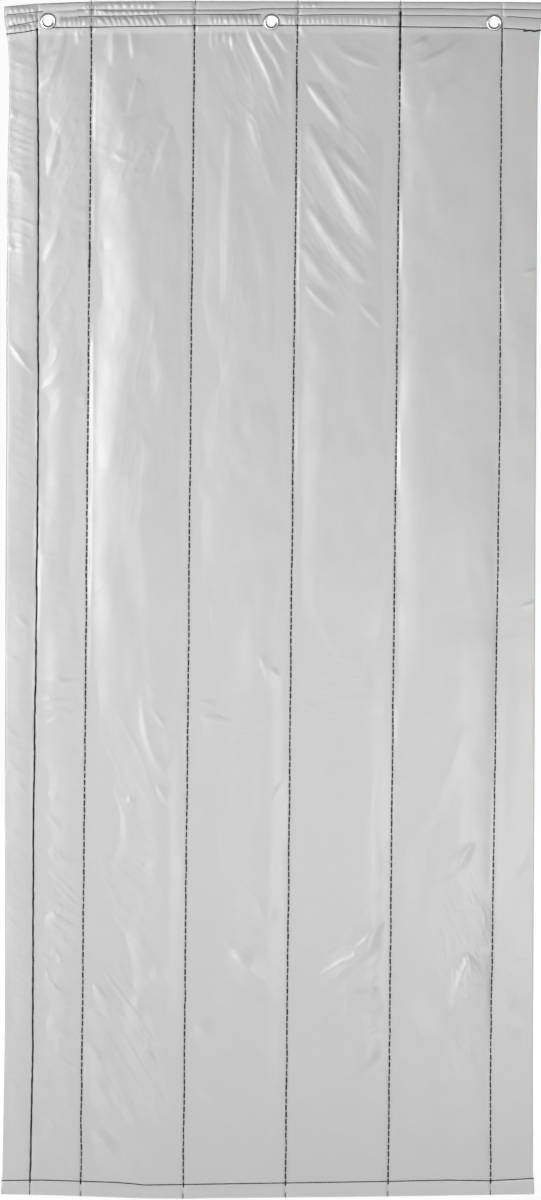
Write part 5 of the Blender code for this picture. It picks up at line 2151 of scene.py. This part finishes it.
@dataclass
class Eyelet:
    """A grommet and its washer: rolled, pressed metal round a hook hole."""

    name: str
    body: str
    finishes: Finishes
    steps: int = 72

    def turned(self, profile: Sequence[Point], name: str, centre: Point) -> bpy.types.Object:
        """Turn a closed profile about Y.

        Args:
            profile: (radius, Y) points.
            name: Name of the piece.
            centre: X and Z of the axis.

        Returns:
            The ring, with its place in its mesh.
        """
        turns = np.linspace(0, 2 * math.pi, self.steps, endpoint=False)[:, None]
        radius, y = np.array(profile).T
        x = centre[0] + radius * np.cos(turns)
        z = centre[1] + radius * np.sin(turns)
        ring = np.stack((x, np.broadcast_to(y, x.shape), z), axis=-1)
        ring = np.concatenate((ring, ring[:1]), axis=0)
        rows, columns = ring.shape[:2]
        mesh = bpy.data.meshes.new(name)
        mesh.from_pydata(ring.reshape(-1, 3).tolist(), [], grid_faces(rows, columns, closed=True).tolist())
        bm = bmesh.new()
        bm.from_mesh(mesh)
        bmesh.ops.remove_doubles(bm, verts=bm.verts, dist=0.001 * MM)
        bmesh.ops.recalc_face_normals(bm, faces=bm.faces)
        bm.to_mesh(mesh)
        bm.free()
        self.paint_roll_shade(mesh, centre, (radius.min(), radius.max()), float(y.min()))
        mesh.shade_smooth()
        mesh.set_sharp_from_angle(angle=math.radians(50))
        return link(mesh, name, self.finishes.metal)

    @staticmethod
    def paint_roll_shade(mesh: bpy.types.Mesh, centre: Point, radii: Point, face: float) -> None:
        """Paint shade where the ring's front turns under, for shadow and dark reflection: at its rim,
        darkest lower right, and at its hole, lower left.

        Args:
            mesh: The mesh.
            centre: The hole's X and Z.
            radii: Radii of hole and rim.
            face: Y of the ring's front.
        """
        places = np.empty(3 * len(mesh.vertices))
        mesh.vertices.foreach_get("co", places)
        x, y, z = places.reshape(-1, 3).T
        away, angle = np.hypot(x - centre[0], z - centre[1]), np.arctan2(z - centre[1], x - centre[0])
        # painted shade masks: the rim darkest towards the lower right, away from the key light, and the
        # hole towards the lower left, only near the front face
        rim = smooth((away - radii[1] + 2.1 * MM) / (0.9 * MM)) * (0.62 + 0.38 * np.cos(angle + 0.4))
        hole = smooth((radii[0] + 1.5 * MM - away) / (0.8 * MM)) * (0.35 + 0.4 * np.cos(angle + 2.0))
        shade = np.clip(np.maximum(rim, hole), 0, 1) * (y < face + 1.6 * MM)
        mesh.attributes.new(PAINTED_ROLL_SHADE, "FLOAT", "POINT").data.foreach_set("value", shade)

    @staticmethod
    def arc(centre: Point, radii: Point, degrees: Point, steps: int = 6) -> list[Point]:
        """Points on an elliptical arc of a profile.

        Args:
            centre: Centre of the ellipse.
            radii: Its two radii.
            degrees: Its first and last angle.
            steps: Chords in it.

        Returns:
            The points.
        """
        start, end = math.radians(degrees[0]), math.radians(degrees[1])
        angles = [start + (end - start) * k / steps for k in range(steps + 1)]
        return [(centre[0] + radii[0] * math.cos(a), centre[1] + radii[1] * math.sin(a)) for a in angles]

    def build(self) -> None:
        """Make the grommet and its washer in the places of their nodes."""
        node = f"grommet_{self.name}"
        low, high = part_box(node)
        centre = ((low.x + high.x) / 2, (low.z + high.z) / 2)
        rim = (high.x - low.x) / 2
        hole, wall = rim - 5.8 * MM, 0.7 * MM
        face, seat, tail = low.y, low.y + 1.5 * MM, high.y
        barrel = hole + wall
        half = (rim - hole) / 2
        lip = barrel + 2.1 * MM
        profile = self.arc((hole + half, seat), (half, seat - face), (180, 360), 16)
        profile += [(rim - 0.5 * MM, seat + 0.15 * MM), (barrel, seat), (barrel, tail - 0.8 * MM)]
        inner, outer = ((barrel + lip) / 2, tail - 0.75 * MM), ((hole + lip) / 2, tail - 0.8 * MM)
        profile += self.arc(inner, ((lip - barrel) / 2, 0.1 * MM), (180, 360), 2)
        profile += self.arc(outer, ((lip - hole) / 2, 0.8 * MM), (0, 180), 10)
        eyelet = self.turned(profile, f"eyelet_{self.name}", centre)
        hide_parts(node)
        washer_low, washer_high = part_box(f"grommet_washer_{self.name}")
        outer = (washer_high.x - washer_low.x) / 2
        bore, thick = outer - 4.8 * MM, 0.6 * MM
        near, far = washer_low.y, washer_high.y
        middle = (bore + outer) / 2
        ring = [(bore, far - thick), (middle, far - thick), (outer - 0.3 * MM, near)]
        ring += self.arc((outer - 0.3 * MM, near + thick / 2), (0.3 * MM, thick / 2), (-90, 90), 4)
        ring += [(middle, far), (bore + 0.2 * MM, far), (bore, far - 0.2 * MM)]
        washer = self.turned(ring, f"washer_{self.name}", centre)
        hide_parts(f"grommet_washer_{self.name}")
        for piece in (eyelet, washer):
            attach(piece, self.body)
            LOG.info("%s: %d faces", piece.name, len(piece.data.polygons))


@dataclass(frozen=True)
class SoftLight:
    """A studio softbox that looks at the middle of the curtain."""

    name: str
    azimuth: float
    elevation: float
    distance: float
    width: float
    height: float
    power: float

    def place(self, aim: Vector) -> None:
        """Put the light into the scene.

        Args:
            aim: Where it points.
        """
        light = bpy.data.lights.new(self.name, "AREA")
        light.shape = "RECTANGLE"
        light.size = self.width
        light.size_y = self.height
        light.energy = self.power
        obj = bpy.data.objects.new(self.name, light)
        bpy.context.scene.collection.objects.link(obj)
        turn, climb = math.radians(self.azimuth), math.radians(self.elevation)
        level = math.cos(climb)
        back = Vector((-math.sin(turn) * level, -math.cos(turn) * level, math.sin(climb)))
        obj.location = aim + back * self.distance
        obj.rotation_euler = back.to_track_quat("Z", "Y").to_euler()


@dataclass
class Studio:
    """Floor, lights, surroundings and camera."""

    plan: Plan
    yaw: float = math.radians(5.64)
    pitch: float = math.radians(5.40)
    roll: float = math.radians(0.588)
    distance: float = 36.0
    view_height: float = 2.0317
    aim: tuple[float, float, float] = (0.0088, 0.0, -0.9807)
    floor_gap: float = 0.05
    floor_reach: float = 90.0
    surroundings: float = 0.02
    left_share: float = 0.05
    upper_share: float = 0.07

    def build(self) -> None:
        """Set everything up."""
        self.lay_floor()
        self.light_world()
        aim = Vector(self.aim)
        for light in (
            SoftLight("key_left", 17, 2, 3.6, 0.9, 1.2, 53),
            SoftLight("low_right", -20, -14, 2.4, 0.45, 0.7, 6.6),
            SoftLight("low_left", 34, -22, 2.2, 0.5, 0.5, 2.6),
            SoftLight("back", 180, 35, 5.0, 3.0, 3.6, 110),
        ):
            light.place(aim)
        self.place_camera(aim)
        bpy.context.scene.view_settings.view_transform = "Standard"

    def lay_floor(self) -> None:
        """Lay a floor just below the curtain's hem."""
        bm = bmesh.new()
        level = self.plan.bottom - self.floor_gap
        place = Matrix.Translation((0, 0, level))
        bmesh.ops.create_grid(bm, x_segments=8, y_segments=8, size=self.floor_reach, matrix=place)
        mesh = bpy.data.meshes.new("floor")
        bm.to_mesh(mesh)
        bm.free()
        link(mesh, "floor", PaleFloor().build())

    def light_world(self) -> None:
        """White surroundings; what is seen behind the curtain is brighter than what lights it."""
        world = bpy.data.worlds.new("studio")
        bpy.context.scene.world = world
        world.use_nodes = True
        world.node_tree.nodes.clear()
        maker = NodeMaker(world.node_tree)
        direction = maker.wire("ShaderNodeTexCoord", output="Generated")
        parts = maker.node("ShaderNodeSeparateXYZ", inputs={0: direction})
        x, z = Wire(maker, parts.outputs["X"]), Wire(maker, parts.outputs["Z"])
        strength = (self.surroundings - x * self.left_share + z * self.upper_share).math("MAXIMUM", 0.01)
        white = (1.0, 1.0, 1.0, 1.0)
        lighting = maker.wire("ShaderNodeBackground", inputs={"Color": white, "Strength": strength})
        seen = maker.wire("ShaderNodeBackground", inputs={"Color": white, "Strength": 1.0})
        to_camera = maker.wire("ShaderNodeLightPath", output="Is Camera Ray")
        mixed = maker.wire("ShaderNodeMixShader", inputs={0: to_camera, 1: lighting, 2: seen})
        maker.node("ShaderNodeOutputWorld", inputs={"Surface": mixed})

    def place_camera(self, aim: Vector) -> None:
        """A long lens, a little to the left and above, rolled so that the header is level.

        Args:
            aim: Where it points.
        """
        yaw, pitch, roll = self.yaw, self.pitch, self.roll
        ahead = Vector((math.sin(yaw) * math.cos(pitch), math.cos(yaw) * math.cos(pitch), -math.sin(pitch)))
        right = Vector((math.cos(yaw), -math.sin(yaw), 0.0))
        up = right.cross(ahead)
        level = right * math.cos(roll) + up * math.sin(roll)
        upright = up * math.cos(roll) - right * math.sin(roll)
        lens = bpy.data.cameras.new("camera")
        lens.sensor_width = 36.0
        lens.lens = lens.sensor_width * self.distance / self.view_height
        lens.clip_end = 300.0
        camera = bpy.data.objects.new("camera", lens)
        bpy.context.scene.collection.objects.link(camera)
        basis = Matrix((level, upright, -ahead)).transposed()
        camera.location = aim - ahead * self.distance
        camera.rotation_euler = basis.to_euler()
        bpy.context.scene.camera = camera


def main() -> None:
    """Build the curtain's looks and its studio."""
    logging.basicConfig(level=logging.INFO, format="%(message)s")
    plan = Plan.from_frame()
    sheet = Sheet(plan, Photo(plan))
    channels = make_channels()
    finishes = Finishes.build()
    pillows = Pillows(sheet, channels)
    pillows.blow_up()
    for channel in channels:
        ChannelPanel(sheet, pillows, channel, finishes).build()
    stitching = Stitching(sheet, pillows, channels, finishes, StitchTree().build())
    for number in SEAM_NUMBERS:
        stitching.sew_seam(number)
        bodies = stitching.body_of_seam(number)
        if len(bodies) == 2:
            SeamStrip(sheet, number, bodies, finishes).build()
    stitching.sew_rows()
    stitching.sew_knots()
    for name, body in (("left", "left_leaf"), ("centre", "centre_leaf"), ("right", "right_leaf")):
        Eyelet(name, body, finishes).build()
    Studio(plan).build()


if __name__ == "__main__":
    main()
